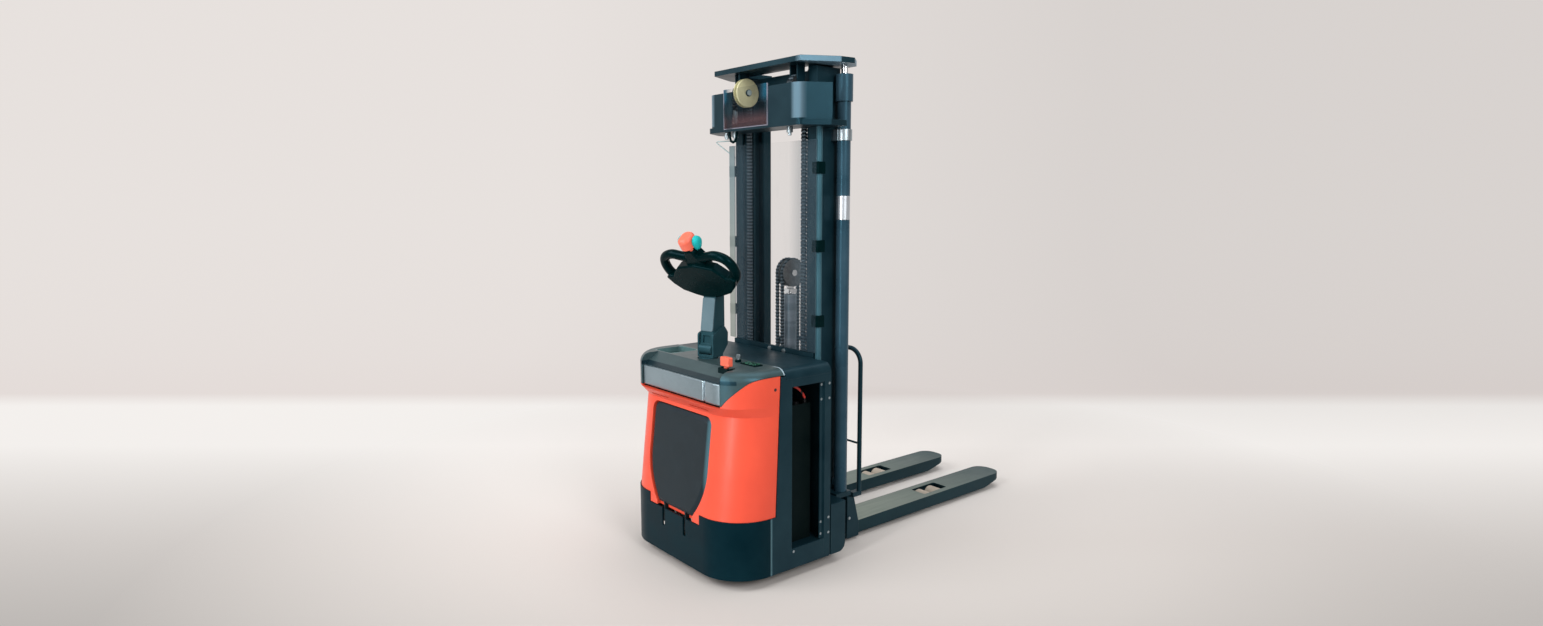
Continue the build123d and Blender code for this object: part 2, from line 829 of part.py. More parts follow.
def inner_mast():
    rail = channel(inner_half, inner_reach, inner_front, inner_rear, inner_web, inner_flange,
                   inner_foot, inner_top)
    rail += bar_x(inner_half, inner_half + 12, roller_y, inner_foot + 70, 12)
    reach = inner_half - inner_reach
    rail += block(reach, reach + 10, inner_rear - 1, inner_lip_rear, inner_foot, inner_top)
    foot = block(-reach, reach, inner_front, inner_lip_rear - 5, inner_foot, inner_foot + 60)
    lug_front = chain_pulley_y + chain_path - chain_deep - 1
    lug = block(chain_x - chain_half, chain_x + chain_half, lug_front, inner_front, inner_foot, chain_foot - 1)
    foot += lug + other_side(lug)
    head = block(-reach, reach, inner_front, inner_front + 10, inner_top - 105, inner_top - 5)
    tube = post(0, free_y, inner_foot + 60, free_tube_top, free_tube)
    tube -= post(0, free_y, inner_foot + 66, free_tube_top - 30, free_bore)
    tube -= post(0, free_y, free_tube_top - 31, free_tube_top + 1, free_rod_radius + running_gap)
    return both_sides(rail) + [foot, head, tube]


def mast_roller(x0, x1, z, radius, bore):
    roller = bar_x(x0, x1, roller_y, z, radius) - bar_x(x0 - 5, x1 + 5, roller_y, z, bore + running_gap)
    return both_sides(roller)


def middle_rollers():
    radius = (outer_rear - outer_front) / 2 - outer_flange - roller_gap
    return mast_roller(middle_half + 1, outer_half - outer_web - 1, middle_foot + 70, radius, 15)


def inner_rollers():
    radius = (middle_rear - middle_front) / 2 - middle_flange - roller_gap
    return mast_roller(inner_half + 1, middle_half - middle_web - 1, inner_foot + 70, radius, 12)


def carriage_rollers():
    radius = (inner_rear - inner_front) / 2 - inner_flange - roller_gap
    return mast_roller(inner_half - 40, inner_half - inner_web - 4, 205, radius, 9)


def crosshead():
    outer = [(-cross_end_x, cross_end_y), (-cross_half, cross_front), (cross_half, cross_front),
             (cross_end_x, cross_end_y)]
    inner = [(cross_end_x - 6, cross_end_y + 4), (cross_half - 3.5, cross_front + cross_plate),
             (-cross_half + 3.5, cross_front + cross_plate), (-cross_end_x + 6, cross_end_y + 4)]
    wall = plan_plate(outer + inner, cross_low, cross_high)
    bend = [e for e in wall.edges().filter_by(Axis.Z) if cross_front + 1 < e.center().Y < cross_front + 10]
    wall = fillet(bend, cross_bend - cross_plate)
    bend = [e for e in wall.edges().filter_by(Axis.Z) if e.center().Y < cross_front + 1]
    wall = fillet(bend, cross_bend)
    wall -= block(cross_window_low_x, cross_window_high_x, cross_front - 5, cross_front + 20,
                  cross_low + 10, cross_high + 10)
    edge = cross_end_x + 11
    right = [(0, cross_front), (cross_half + 8, cross_front), (edge, 560), (edge, 650), (outer_half, 650),
             (outer_half, outer_front - 1), (0, outer_front - 1)]
    left = [(-x, y) for x, y in reversed(right)]
    floor = plan_plate(right + left[1:-1], cross_floor, cross_low)
    bend = [e for e in floor.edges().filter_by(Axis.Z) if e.center().Y < cross_front + 1]
    floor = fillet(bend, cross_bend / 2)
    for x in (-chain_x, chain_x):
        floor -= post(x, chain_pulley_y - chain_path, cross_floor - 1, cross_low + 1, 8)
        floor -= post(x / chain_x * ram_x, ram_y, cross_floor - 1, cross_low + 1, ram_tube + 2)
    return wall + floor


def clear_guards():
    window = block(cross_sheet_low_x, cross_window_high_x + 14, cross_front - 4, cross_front,
                   cross_low - 14, cross_high + 14)
    screen = block(-guard_half, guard_half, guard_front, guard_front + guard_plate, guard_low, guard_high)
    return [window, screen]


def guard_clips():
    clips = []
    rear = guard_front + guard_plate
    for z in guard_clip_heights:
        clip = block(outer_half - 8, guard_half + 6, rear, outer_front, z - 26, z + 26)
        clips.append(other_side(clip))
        clip += block(outer_half, pipe_x + pipe_radius + 5, rear, pipe_y + pipe_radius + 4, z - 26, z + 26)
        clips.append(clip - post(pipe_x, pipe_y, z - 30, z + 30, pipe_radius))
    return clips


def mast_fittings():
    clamp = post(ram_x, ram_y, cross_floor - 56, cross_floor - 8, ram_tube + 6)
    clamp += block(outer_half, ram_x, ram_y - 40, ram_y - 12, cross_floor - 56, cross_floor - 8)
    clamp -= post(ram_x, ram_y, cross_floor - 60, cross_floor, ram_tube)
    stud = post(chain_x, chain_pulley_y - chain_path, cross_floor - 35, anchor_top, 7.9)
    stud += post(chain_x, chain_pulley_y - chain_path, cross_floor - 22, cross_floor, 14)
    stud += post(chain_x, chain_pulley_y - chain_path, anchor_top - 34, anchor_top, 12)
    bolts = [Pos(x, outer_front - 17, 928) * Rot(90, 0, 0) * Cylinder(11, 6) for x in (-13, 90)]
    return both_sides(clamp) + both_sides(stud) + bolts


def lift_tubes():
    tube = post(ram_x, ram_y, ram_foot, ram_head_low, ram_tube)
    tube += post(ram_x, ram_y, ram_head_low, ram_head_high, ram_head)
    tube -= post(ram_x, ram_y, ram_foot + 10, ram_head_low + 10, ram_bore)
    tube -= post(ram_x, ram_y, ram_head_low, ram_head_high + 1, ram_rod + running_gap)
    return both_sides(tube)


def lift_rods():
    rod = post(ram_x, ram_y, ram_foot + 20, plate_low, ram_rod)
    rod += post(ram_x, ram_y, ram_foot + 20, ram_foot + 60, ram_bore - running_gap)
    return both_sides(rod)


def mast_pipe():
    pipe = post(pipe_x, pipe_y, bracket_top, cross_floor, pipe_radius)
    return pipe - post(pipe_x, pipe_y, bracket_top + 20, cross_floor - 20, pipe_radius - 3)


# Loop of leaf chain over a pulley whose axle lies along X
def chain_loop(x, half, y, z, path, front_foot, rear_foot):
    loop = bar_x(x - half, x + half, y, z, path + chain_deep)
    loop -= bar_x(x - half - 1, x + half + 1, y, z, path - chain_deep)
    loop -= block(x - 50, x + 50, y - 200, y + 200, z - 200, z)
    loop += block(x - half, x + half, y - path - chain_deep, y - path + chain_deep, front_foot, z)
    loop += block(x - half, x + half, y + path - chain_deep, y + path + chain_deep, rear_foot, z)
    return loop


def grooved_pulley(x, chain, y, z, groove, flange, half, bore):
    pulley = bar_x(x - half, x + half, y, z, flange)
    ring = bar_x(x - chain - 1, x + chain + 1, y, z, flange + 5)
    ring -= bar_x(x - chain - 2, x + chain + 2, y, z, groove)
    return pulley - ring - bar_x(x - half - 5, x + half + 5, y, z, bore + running_gap)


def mast_chains():
    front_foot = anchor_top + moving_gap
    return both_sides(chain_loop(chain_x, chain_half, chain_pulley_y, chain_pulley_z, chain_path, front_foot,
                                 chain_foot))


def chain_pulleys():
    groove = chain_path - chain_deep - moving_gap
    return both_sides(grooved_pulley(chain_x, chain_half, chain_pulley_y, chain_pulley_z, groove, 46,
                                     chain_half + 4, 10))


def hose_pulley():
    x = hose_pulley_x
    pulley = bar_x(x - 15, x + 15, hose_pulley_y, hose_pulley_z, hose_pulley_radius)
    pulley = fillet(pulley.edges().filter_by(GeomType.CIRCLE), 4)
    groove = bar_x(x - 9, x + 9, hose_pulley_y, hose_pulley_z, hose_pulley_radius + 5)
    groove -= bar_x(x - 10, x + 10, hose_pulley_y, hose_pulley_z, hose_pulley_radius - 12)
    return pulley - groove - bar_x(x - 20, x + 20, hose_pulley_y, hose_pulley_z, 9 + running_gap)


def free_rod():
    foot = free_tube_top + 6
    rod = post(0, free_y, 300, foot + 10, free_rod_radius)
    rod += block(-24, 24, free_y - 22, free_y + 22, foot, foot + 20)
    rod += block(-5, 5, free_y - 20, free_y + 20, foot, free_pulley_z + 20)
    rod += bar_x(-34, 34, free_y, free_pulley_z, 10)
    rod += bar_x(29, 34, free_y, free_pulley_z, 15) + bar_x(-34, -29, free_y, free_pulley_z, 15)
    return rod


def free_pulley():
    groove = free_chain_path - chain_deep - moving_gap
    return both_sides(grooved_pulley(free_chain_x, free_chain_half, free_y, free_pulley_z, groove, 66,
                                     free_chain_half + 3, 10))


def carriage_chain():
    front_foot = inner_foot + 60 + moving_gap
    return both_sides(chain_loop(free_chain_x, free_chain_half, free_y, free_pulley_z, free_chain_path,
                                 front_foot, anchor_block_top + moving_gap))


# Carriage, backrest and forks
def carriage_frame():
    side = inner_half - inner_reach - 2
    groove = inner_half - inner_web - 2
    beam = fork_rear - 32
    plate = block(side - 12, side, 632, beam, 170, 560)
    plate += bar_x(side, groove, roller_y, 205, 9)
    plate += block(side, groove, inner_front + inner_flange + moving_gap, inner_rear - inner_flange - moving_gap,
                   520, 560)
    gusset_shape = [(beam - 8, 15), (load_face, 15), (load_face, fork_top - 3), (fork_rear + 2, 221),
                    (beam - 8, 221)]
    plate += side_plate(gusset_shape, fork_outer, fork_outer + 12)
    plate += side_plate(gusset_shape, fork_inner - 12, fork_inner)
    plate += block(fork_outer, backrest_x + 8, beam + 12, backrest_y + 10, backrest_foot - 22, backrest_foot)
    plate += fork_section(fork_rear, load_face)
    frame = plate + other_side(plate)
    frame += block(-fork_outer, fork_outer, beam, fork_rear, fork_top + 1, 235)
    frame += block(-side - 40, side + 40, beam, fork_rear, 430, 500)
    frame += block(-32, 32, 728, beam, anchor_block_top - 18, anchor_block_top)
    for x in (-backrest_x, backrest_x):
        frame -= post(x, backrest_y, backrest_foot, 600, backrest_tube)
    return frame


def backrest():
    turn = backrest_top - backrest_bend
    leg = post(backrest_x, backrest_y, backrest_foot, turn, backrest_tube)
    bend_x = backrest_x - backrest_bend
    ring = Pos(bend_x, backrest_y, turn) * Rot(90, 0, 0) * Torus(backrest_bend, backrest_tube)
    bend = ring & block(bend_x, bend_x + 200, backrest_y - 50, backrest_y + 50, turn, turn + 200)
    top = bar_x(-bend_x, bend_x, backrest_y, backrest_top, backrest_tube)
    rail = bar_x(-backrest_x, backrest_x, backrest_y, 476, 5)
    for x in (-backrest_x, backrest_x):
        rail -= post(x, backrest_y, 400, 600, backrest_tube)
    return both_sides(leg) + both_sides(bend) + [top, rail]


def fork_section(y0, y1):
    low = fork_top - fork_depth
    section = block(fork_inner, fork_outer, y0, y1, low, fork_top)
    return section - block(fork_inner + fork_side, fork_outer - fork_side, y0 - 1, y1 + 1, low - 1,
                           fork_top - fork_skin)


def fork():
    low = fork_top - fork_depth
    tine = block(fork_inner, fork_outer, load_face, overall_length, low, fork_top)
    nose = [e for e in tine.edges().filter_by(Axis.Z) if e.center().Y > overall_length - 1]
    tine = fillet(nose, fork_tip_radius)
    tine -= block(fork_inner + fork_side, fork_outer - fork_side, load_face - 1, leg_end + 75, low - 1,
                  fork_top - fork_skin)
    tine -= side_plate([(overall_length - 160, low - 1), (overall_length + 1, low - 1),
                        (overall_length + 1, fork_top - 27)], 0, 400)
    hole = block(fork_centre - 46, fork_centre + 46, load_wheel_rear - 47, load_wheel_front + 47, low,
                 fork_top + 1)
    tine -= fillet(hole.edges().filter_by(Axis.Z), 10)
    return tine


def forks():
    return both_sides(fork())


# Base legs and load wheels
def base_legs():
    x0 = fork_centre - leg_half
    x1 = fork_centre + leg_half
    leg = block(x0, x1, rear_end + 6, leg_end, leg_low, leg_high)
    nose = [e for e in leg.edges().filter_by(Axis.X) if e.center().Y > leg_end - 1]
    leg = fillet(nose, 12)
    leg -= block(x0 + 11, x1 - 11, load_wheel_rear - 51, load_wheel_front + 53, leg_low - 1, leg_high + 1)
    axles = []
    for y in (load_wheel_rear, load_wheel_front):
        leg -= bar_x(x0 - 1, x1 + 1, y, load_radius, load_axle)
        axles.append(bar_x(x0, x1, y, load_radius, load_axle))
    pieces = []
    for piece in [leg] + axles:
        pieces += both_sides(piece)
    base = block(-outer_half - 2, outer_half + 2, rear_end + 6, outer_rear, leg_high, outer_foot)
    return pieces + [base]


def load_wheel(y):
    x0 = fork_centre - load_half
    x1 = fork_centre + load_half
    wheel = bar_x(x0, x1, y, load_radius, load_radius)
    wheel = fillet(wheel.edges().filter_by(GeomType.CIRCLE), 4)
    return wheel - bar_x(x0 - 5, x1 + 5, y, load_radius, load_axle + running_gap)


def foot_brackets():
    bracket = block(outer_half + 2, half_body, rear_end + 6, bracket_rear, skirt_bottom, bracket_top)
    heel = bracket.edges().filter_by(Axis.X).group_by(Axis.Z)[0].sort_by(Axis.Y)[-1]
    bracket = fillet(heel, 38)
    bracket += block(outer_half, outer_half + 4, 590, bracket_rear - 6, 90, bracket_top - 20)
    bracket += block(half_body - 70, half_body - 8, rear_end, rear_end + 6, 60, bracket_top - 10)
    foot = block(outer_half, ram_x + 34, bracket_rear + 2, ram_y + 36, ram_foot - 22, ram_foot)
    return both_sides(bracket) + both_sides(foot)


os.makedirs("parts", exist_ok=True)
save("front_skirt", front_skirt())
save("front_cover", front_cover())
save("dashboard", dashboard())
save("front_bar", front_bar())
save("side_panels", *side_panels())
save("panel_bolts", *panel_bolts())
save("top_deck", top_deck())
save("chassis_plates", *chassis_plates())
save("battery_case", *battery_case())
save("battery_caps", *battery_caps())
save("power_units", *power_units())
save("deck_fittings", *deck_fittings())
save("drive_turret", *drive_turret())
save("drive_wheel", *drive_wheel())
save("steering_column", steering_column())
save("castor_fork_right", castor_fork())
save("castor_fork_left", other_side(castor_fork()))
save("castor_wheel_right", castor_wheel())
save("castor_wheel_left", other_side(castor_wheel()))
save("platform", platform())
save("platform_hinge", platform_hinge())
save("tiller_column", tiller_column())
save("tiller_cover", tiller_cover())
save("tiller_head", tiller_head())
save("tiller_grips", *tiller_grips())
save("belly_button", belly_button())
save("thumb_wings", thumb_wings())
save("lift_rocker", lift_rocker())
save("horn_button", horn_button())
save("switch_bases", *switch_bases())
save("emergency_knob", emergency_knob())
save("key", key())
save("outer_mast", *outer_mast())
save("middle_mast", *middle_mast())
save("inner_mast", *inner_mast())
save("middle_rollers", *middle_rollers())
save("inner_rollers", *inner_rollers())
save("carriage_rollers", *carriage_rollers())
save("crosshead", crosshead())
save("clear_guards", *clear_guards())
save("guard_clips", *guard_clips())
save("mast_fittings", *mast_fittings())
save("lift_tubes", *lift_tubes())
save("lift_rods", *lift_rods())
save("mast_pipe", mast_pipe())
save("mast_chains", *mast_chains())
save("chain_pulleys", *chain_pulleys())
save("hose_pulley", hose_pulley())
save("free_rod", free_rod())
save("free_pulley", *free_pulley())
save("carriage_chain", *carriage_chain())
save("carriage_frame", carriage_frame())
save("backrest", *backrest())
save("forks", *forks())
save("base_legs", *base_legs())
save("load_wheel_right_rear", load_wheel(load_wheel_rear))
save("load_wheel_right_front", load_wheel(load_wheel_front))
save("load_wheel_left_rear", other_side(load_wheel(load_wheel_rear)))
save("load_wheel_left_front", other_side(load_wheel(load_wheel_front)))
save("foot_brackets", *foot_brackets())
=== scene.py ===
import json
import math
import bpy
import numpy as np
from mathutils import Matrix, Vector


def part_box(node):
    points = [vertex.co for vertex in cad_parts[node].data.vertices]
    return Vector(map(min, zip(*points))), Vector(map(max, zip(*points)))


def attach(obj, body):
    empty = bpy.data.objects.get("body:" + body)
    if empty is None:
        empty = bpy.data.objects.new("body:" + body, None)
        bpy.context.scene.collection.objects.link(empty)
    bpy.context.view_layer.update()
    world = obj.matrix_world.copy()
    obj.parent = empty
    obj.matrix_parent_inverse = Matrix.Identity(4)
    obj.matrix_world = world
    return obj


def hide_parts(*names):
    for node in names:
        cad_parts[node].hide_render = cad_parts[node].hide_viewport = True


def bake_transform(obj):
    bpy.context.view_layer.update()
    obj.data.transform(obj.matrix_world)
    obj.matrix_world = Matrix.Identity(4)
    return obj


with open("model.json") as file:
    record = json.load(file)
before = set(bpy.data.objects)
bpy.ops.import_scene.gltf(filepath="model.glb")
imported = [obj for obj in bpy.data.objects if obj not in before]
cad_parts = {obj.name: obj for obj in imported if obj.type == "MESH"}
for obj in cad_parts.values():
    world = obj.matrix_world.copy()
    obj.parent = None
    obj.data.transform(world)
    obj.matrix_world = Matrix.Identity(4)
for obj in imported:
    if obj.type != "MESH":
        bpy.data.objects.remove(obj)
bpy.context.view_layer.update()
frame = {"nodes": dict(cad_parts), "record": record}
nodes = frame["nodes"]
print("frame loaded:", len(nodes), "nodes")


class Value:
    # a socket whose operators add Math nodes to its material
    def __init__(self, finish, socket):
        self.finish, self.socket = finish, socket

    def __add__(self, other):
        return self.finish.maths("ADD", self, other)

    def __radd__(self, other):
        return self.finish.maths("ADD", other, self)

    def __sub__(self, other):
        return self.finish.maths("SUBTRACT", self, other)

    def __rsub__(self, other):
        return self.finish.maths("SUBTRACT", other, self)

    def __mul__(self, other):
        return self.finish.maths("MULTIPLY", self, other)

    def __gt__(self, other):
        return self.finish.maths("GREATER_THAN", self, other)

    def __lt__(self, other):
        return self.finish.maths("LESS_THAN", self, other)


class Finish:
    # one material; node() makes any node, the other methods are short forms of it
    def __init__(self, name):
        self.material = bpy.data.materials.new(name)
        self.material.use_nodes = True
        self.tree = self.material.node_tree
        self.surface = self.tree.nodes["Principled BSDF"]
        self.place = self.node("ShaderNodeTexCoord", out="Object")

    def node(self, kind, settings=None, sockets=None, out=0):
        made = self.tree.nodes.new(kind)
        for key, setting in (settings or {}).items():
            if key == "stops":
                while len(made.color_ramp.elements) < len(setting):
                    made.color_ramp.elements.new(0.5)
                for stop, (spot, colour) in zip(made.color_ramp.elements, setting):
                    stop.position, stop.color = spot, colour
            else:
                setattr(made, key, setting)
        for key, given in (sockets or {}).items():
            self.feed(made.inputs[key], given)
        return Value(self, made.outputs[out])

    def feed(self, socket, given):
        if isinstance(given, Value):
            self.tree.links.new(given.socket, socket)
        else:
            socket.default_value = given

    def shade(self, **sockets):
        for key, given in sockets.items():
            self.feed(self.surface.inputs[key.replace("_", " ")], given)
        return self.material

    def maths(self, operation, *values):
        return self.node("ShaderNodeMath", {"operation": operation}, dict(enumerate(values)))

    def axis(self, name):
        return self.node("ShaderNodeSeparateXYZ", None, {0: self.place}, name)

    def stretch(self, scale):
        return self.node("ShaderNodeMapping", None, {"Vector": self.place, "Scale": scale})

    def noise(self, size, detail=3.0, rough=0.55, place=None):
        sockets = {"Vector": place or self.place, "Scale": 1 / size, "Detail": detail, "Roughness": rough}
        return self.node("ShaderNodeTexNoise", None, sockets)

    def cells(self, size):
        return self.node("ShaderNodeTexVoronoi", None, {"Vector": self.place, "Scale": 1 / size})

    def ramp(self, factor, low, high, fromValue=0.0, toValue=1.0):
        sockets = {"Value": factor, "From Min": low, "From Max": high, "To Min": fromValue, "To Max": toValue}
        return self.node("ShaderNodeMapRange", None, sockets)

    def vary(self, noise, low=0.0, high=1.0):
        # from low to high across the middle of a noise
        return self.ramp(noise, 0.3, 0.7, low, high)

    def mix(self, factor, first, second):
        def full(colour):
            return colour if isinstance(colour, Value) else (*colour[:3], 1)
        sockets = {0: factor, 6: full(first), 7: full(second)}
        return self.node("ShaderNodeMix", {"data_type": "RGBA"}, sockets, 2)

    def bump(self, height, distance, edge):
        # small relief over edges that look rounded by the radius given
        soft = self.node("ShaderNodeBevel", {"samples": 4}, {"Radius": edge})
        return self.node("ShaderNodeBump", None, {"Height": height, "Distance": distance, "Normal": soft})


def times(share, colour):
    return tuple(share * c for c in colour)


# Finishes of the truck, in the colours seen in the studio picture
coolTint = (0.28, 0.74, 1.0, 1)  # reflections in dark paint and plastic lean to blue
slateLook = {"colour": (0.0040, 0.0165, 0.0240), "pale": (0.0088, 0.0265, 0.0355), "rough": 0.38,
             "shine": 0.30, "edge": 0.0022, "cloud": 0.16, "peel": 0.0016, "peelDepth": 0.00010,
             "scuff": 0.02, "scuffed": 0.08, "scuffTone": (0.10, 0.13, 0.14)}


def coat(**changes):
    return dict(slateLook, **changes)


def slateSteel(name, look):
    # powder coat: two tones in soft clouds, fine orange peel and faint scuffs
    f = Finish(name)
    cloud = f.noise(look["cloud"], 4)
    scuff = f.ramp(f.noise(look["scuff"], 8, 0.7, f.stretch((1, 1, 3))), 0.62, 0.78)
    colour = f.mix(f.ramp(cloud, 0.35, 0.7), look["colour"], look["pale"])
    f.colour = f.mix(scuff * look["scuffed"], colour, look["scuffTone"])
    rough = f.vary(cloud, look["rough"] - 0.06, look["rough"] + 0.08)
    normal = f.bump(f.noise(look["peel"], 2), look["peelDepth"], look["edge"])
    f.shade(Base_Color=f.colour, Roughness=rough, Normal=normal, Specular_IOR_Level=look["shine"],
            Specular_Tint=coolTint)
    return f


seamHighlight = {"place": -0.8145, "half": 0.006, "core": 0.3, "top": 0.297, "colour": (0.085, 0.165, 0.195)}


def bodySteel(name, look):
    # painted highlight: a pale line down the seam between the skirt and the side panel
    f = slateSteel(name, look)
    apart = f.axis("Y") - seamHighlight["place"]
    outer, inner = seamHighlight["half"], seamHighlight["core"] * seamHighlight["half"]
    line = f.ramp(apart * apart, outer ** 2, inner ** 2) * (f.axis("Z") < seamHighlight["top"])
    return f.shade(Base_Color=f.mix(line, f.colour, seamHighlight["colour"]))


innerLook = {"half": 0.040, "low": 0.2, "high": 1.2, "band": 0.03, "flat": (0.02, 0.02, 1),
             "dark": (0.195, 0.240, 0.280), "pale": (0.270, 0.320, 0.370)}


def innerSteel(name):
    # the free-lift tube in the middle wears a paler grey than the rails, in level bands
    f = slateSteel(name, slateLook)
    tube = f.maths("ABSOLUTE", f.axis("X")) < innerLook["half"]
    tube = tube * (f.axis("Z") < innerLook["high"]) * (f.axis("Z") > innerLook["low"])
    bands = f.ramp(f.noise(innerLook["band"], 2, 0.5, f.stretch(innerLook["flat"])), 0.4, 0.6)
    return f.shade(Base_Color=f.mix(tube, f.colour, f.mix(bands, innerLook["dark"], innerLook["pale"])))


plateEdgeHighlight = {"low": 2.2015, "high": 2.2295, "start": 0.27, "full": 0.31, "end": 0.3905,
             "colour": (0.120, 0.205, 0.265)}


def plateSteel(name):
    # painted highlight on the edge of the top plate towards its right end, short of its last facet
    f = slateSteel(name, slateLook)
    edge = (f.axis("Z") > plateEdgeHighlight["low"]) * f.ramp(f.axis("X"), plateEdgeHighlight["start"], plateEdgeHighlight["full"])
    edge = edge * (f.axis("X") < plateEdgeHighlight["end"]) * (f.axis("Z") < plateEdgeHighlight["high"])
    return f.shade(Base_Color=f.mix(edge, f.colour, plateEdgeHighlight["colour"]))


bendHighlight = {"start": 0.272, "rise": 0.294, "fall": 0.316, "end": 0.336, "low": 1.970,
            "colour": (0.105, 0.170, 0.215)}
crossLook = coat(colour=(0.0036, 0.0135, 0.0195), pale=(0.0075, 0.0215, 0.0290))


def crossSteel(name):
    # painted highlight down the bend of the crosshead's sheet
    f = slateSteel(name, crossLook)
    side = f.maths("ABSOLUTE", f.axis("X"))
    bend = f.ramp(side, bendHighlight["start"], bendHighlight["rise"]) * f.ramp(side, bendHighlight["end"], bendHighlight["fall"])
    return f.shade(Base_Color=f.mix(bend * (f.axis("Z") > bendHighlight["low"]), f.colour, bendHighlight["colour"]))


forkTopLight = {"top": (0.275, 0.315, 0.265), "tip": (0.060, 0.088, 0.090), "deckHeight": 0.0845, "heel": -0.15,
            "nose": 1.0, "streak": 0.02, "along": (1, 0.08, 1), "least": 0.75}
forkCoat = coat(colour=(0.0045, 0.0180, 0.0230), pale=(0.010, 0.028, 0.034), rough=0.48, scuffed=0.18)


def forkSteel(name):
    # painted light: the tops of the forks are paler, most towards the heel, in streaks along them
    f = slateSteel(name, forkCoat)
    along = f.ramp(f.axis("Y"), forkTopLight["heel"], forkTopLight["nose"])
    rubbedAndLit = f.mix(along, forkTopLight["top"], forkTopLight["tip"])
    streak = f.vary(f.noise(forkTopLight["streak"], 6, 0.6, f.stretch(forkTopLight["along"])), forkTopLight["least"])
    return f.shade(Base_Color=f.mix((f.axis("Z") > forkTopLight["deckHeight"]) * streak, f.colour, rubbedAndLit))


chainLook = {"pitch": 0.015875, "deep": 0.0074, "waist": 0.0030, "pin": 0.0034}
chainTone = {"dark": (0.005, 0.015, 0.022), "pale": (0.085, 0.122, 0.150), "oil": (0.05, 0.045, 0.04),
             "oiled": 0.2, "cloud": 0.012, "rough": (0.36, 0.54), "metal": 0.3,
             "depth": 0.00012, "edge": 0.001}


def chainIron(name):
    # rows of links, paler at the pins than between them, as a sine along the chain
    f = Finish(name)
    wave = f.maths("SINE", f.axis("Z") * (2 * math.pi / chainLook["pitch"]))
    cloud = f.noise(chainTone["cloud"], 6, 0.7)
    tone = f.mix(f.ramp(wave, -0.5, 0.7), chainTone["dark"], chainTone["pale"])
    tone = f.mix(f.ramp(cloud, 0.5, 0.8) * chainTone["oiled"], tone, chainTone["oil"])
    return f.shade(Base_Color=tone, Roughness=f.vary(cloud, *chainTone["rough"]), Metallic=chainTone["metal"],
                   Normal=f.bump(cloud, chainTone["depth"], chainTone["edge"]))


redLook = {"colour": (0.77, 0.083, 0.040), "deep": (0.70, 0.068, 0.033), "cloud": 0.22, "rough": (0.33, 0.45),
           "rub": 0.035, "rubbedAndLit": 0.08, "rubTone": (0.80, 0.20, 0.13), "grain": 0.0011, "depth": 0.00008,
           "edge": 0.003, "shine": 0.35, "coat": 0.08, "coatRough": 0.25}


def redShell(name):
    # moulded shell with a fine grain and a thin coat
    f = Finish(name)
    cloud = f.noise(redLook["cloud"], 3)
    rub = f.ramp(f.noise(redLook["rub"], 7, 0.72), 0.66, 0.82)
    colour = f.mix(f.ramp(cloud, 0.3, 0.75), redLook["colour"], redLook["deep"])
    colour = f.mix(rub * redLook["rubbedAndLit"], colour, redLook["rubTone"])
    normal = f.bump(f.noise(redLook["grain"], 2), redLook["depth"], redLook["edge"])
    return f.shade(Base_Color=colour, Roughness=f.vary(cloud, *redLook["rough"]), Normal=normal,
                   Specular_IOR_Level=redLook["shine"], Coat_Weight=redLook["coat"],
                   Coat_Roughness=redLook["coatRough"])


plasticLook = {"cloud": 0.09, "handled": 0.03, "polish": 0.07, "spread": 0.1}


def grainedPlastic(name, dark, pale, rough, grain, depth, edge=0.002, shine=0.4):
    # two tones in clouds, a cellular grain, and spots that hands have polished
    f = Finish(name)
    cloud = f.noise(plasticLook["cloud"], 4)
    handled = f.ramp(f.noise(plasticLook["handled"], 6, 0.7), 0.55, 0.8)
    colour = f.mix(f.ramp(cloud, 0.3, 0.75), dark, pale)
    gloss = f.vary(cloud, rough, rough + plasticLook["spread"]) - handled * plasticLook["polish"]
    return f.shade(Base_Color=colour, Roughness=gloss, Normal=f.bump(f.cells(grain), depth, edge),
                   Specular_IOR_Level=shine, Specular_Tint=coolTint)


dashLook = {"dark": (0.026, 0.044, 0.046), "pale": (0.048, 0.072, 0.074), "rough": (0.32, 0.42),
            "shine": 0.55, "grain": 0.0012, "depth": 0.00010, "edge": 0.003,
            "strip": (0.004, 0.010, 0.013), "stripRear": -0.950, "stripLow": 0.8760, "stripHigh": 0.8935,
            "tray": (-0.260, -0.825), "trayHalf": (0.070, 0.075),
            "rim": (0.048, 0.078, 0.084), "rimWide": 0.007, "rimLow": 0.927,
            "mat": (0.105, 0.190, 0.190), "matSpill": 0.001, "matLow": 0.895, "matHigh": 0.939,
            "seam": (0.34, 0.44, 0.50), "seamFront": -0.742, "seamRight": 0.345, "seamLow": 0.897}


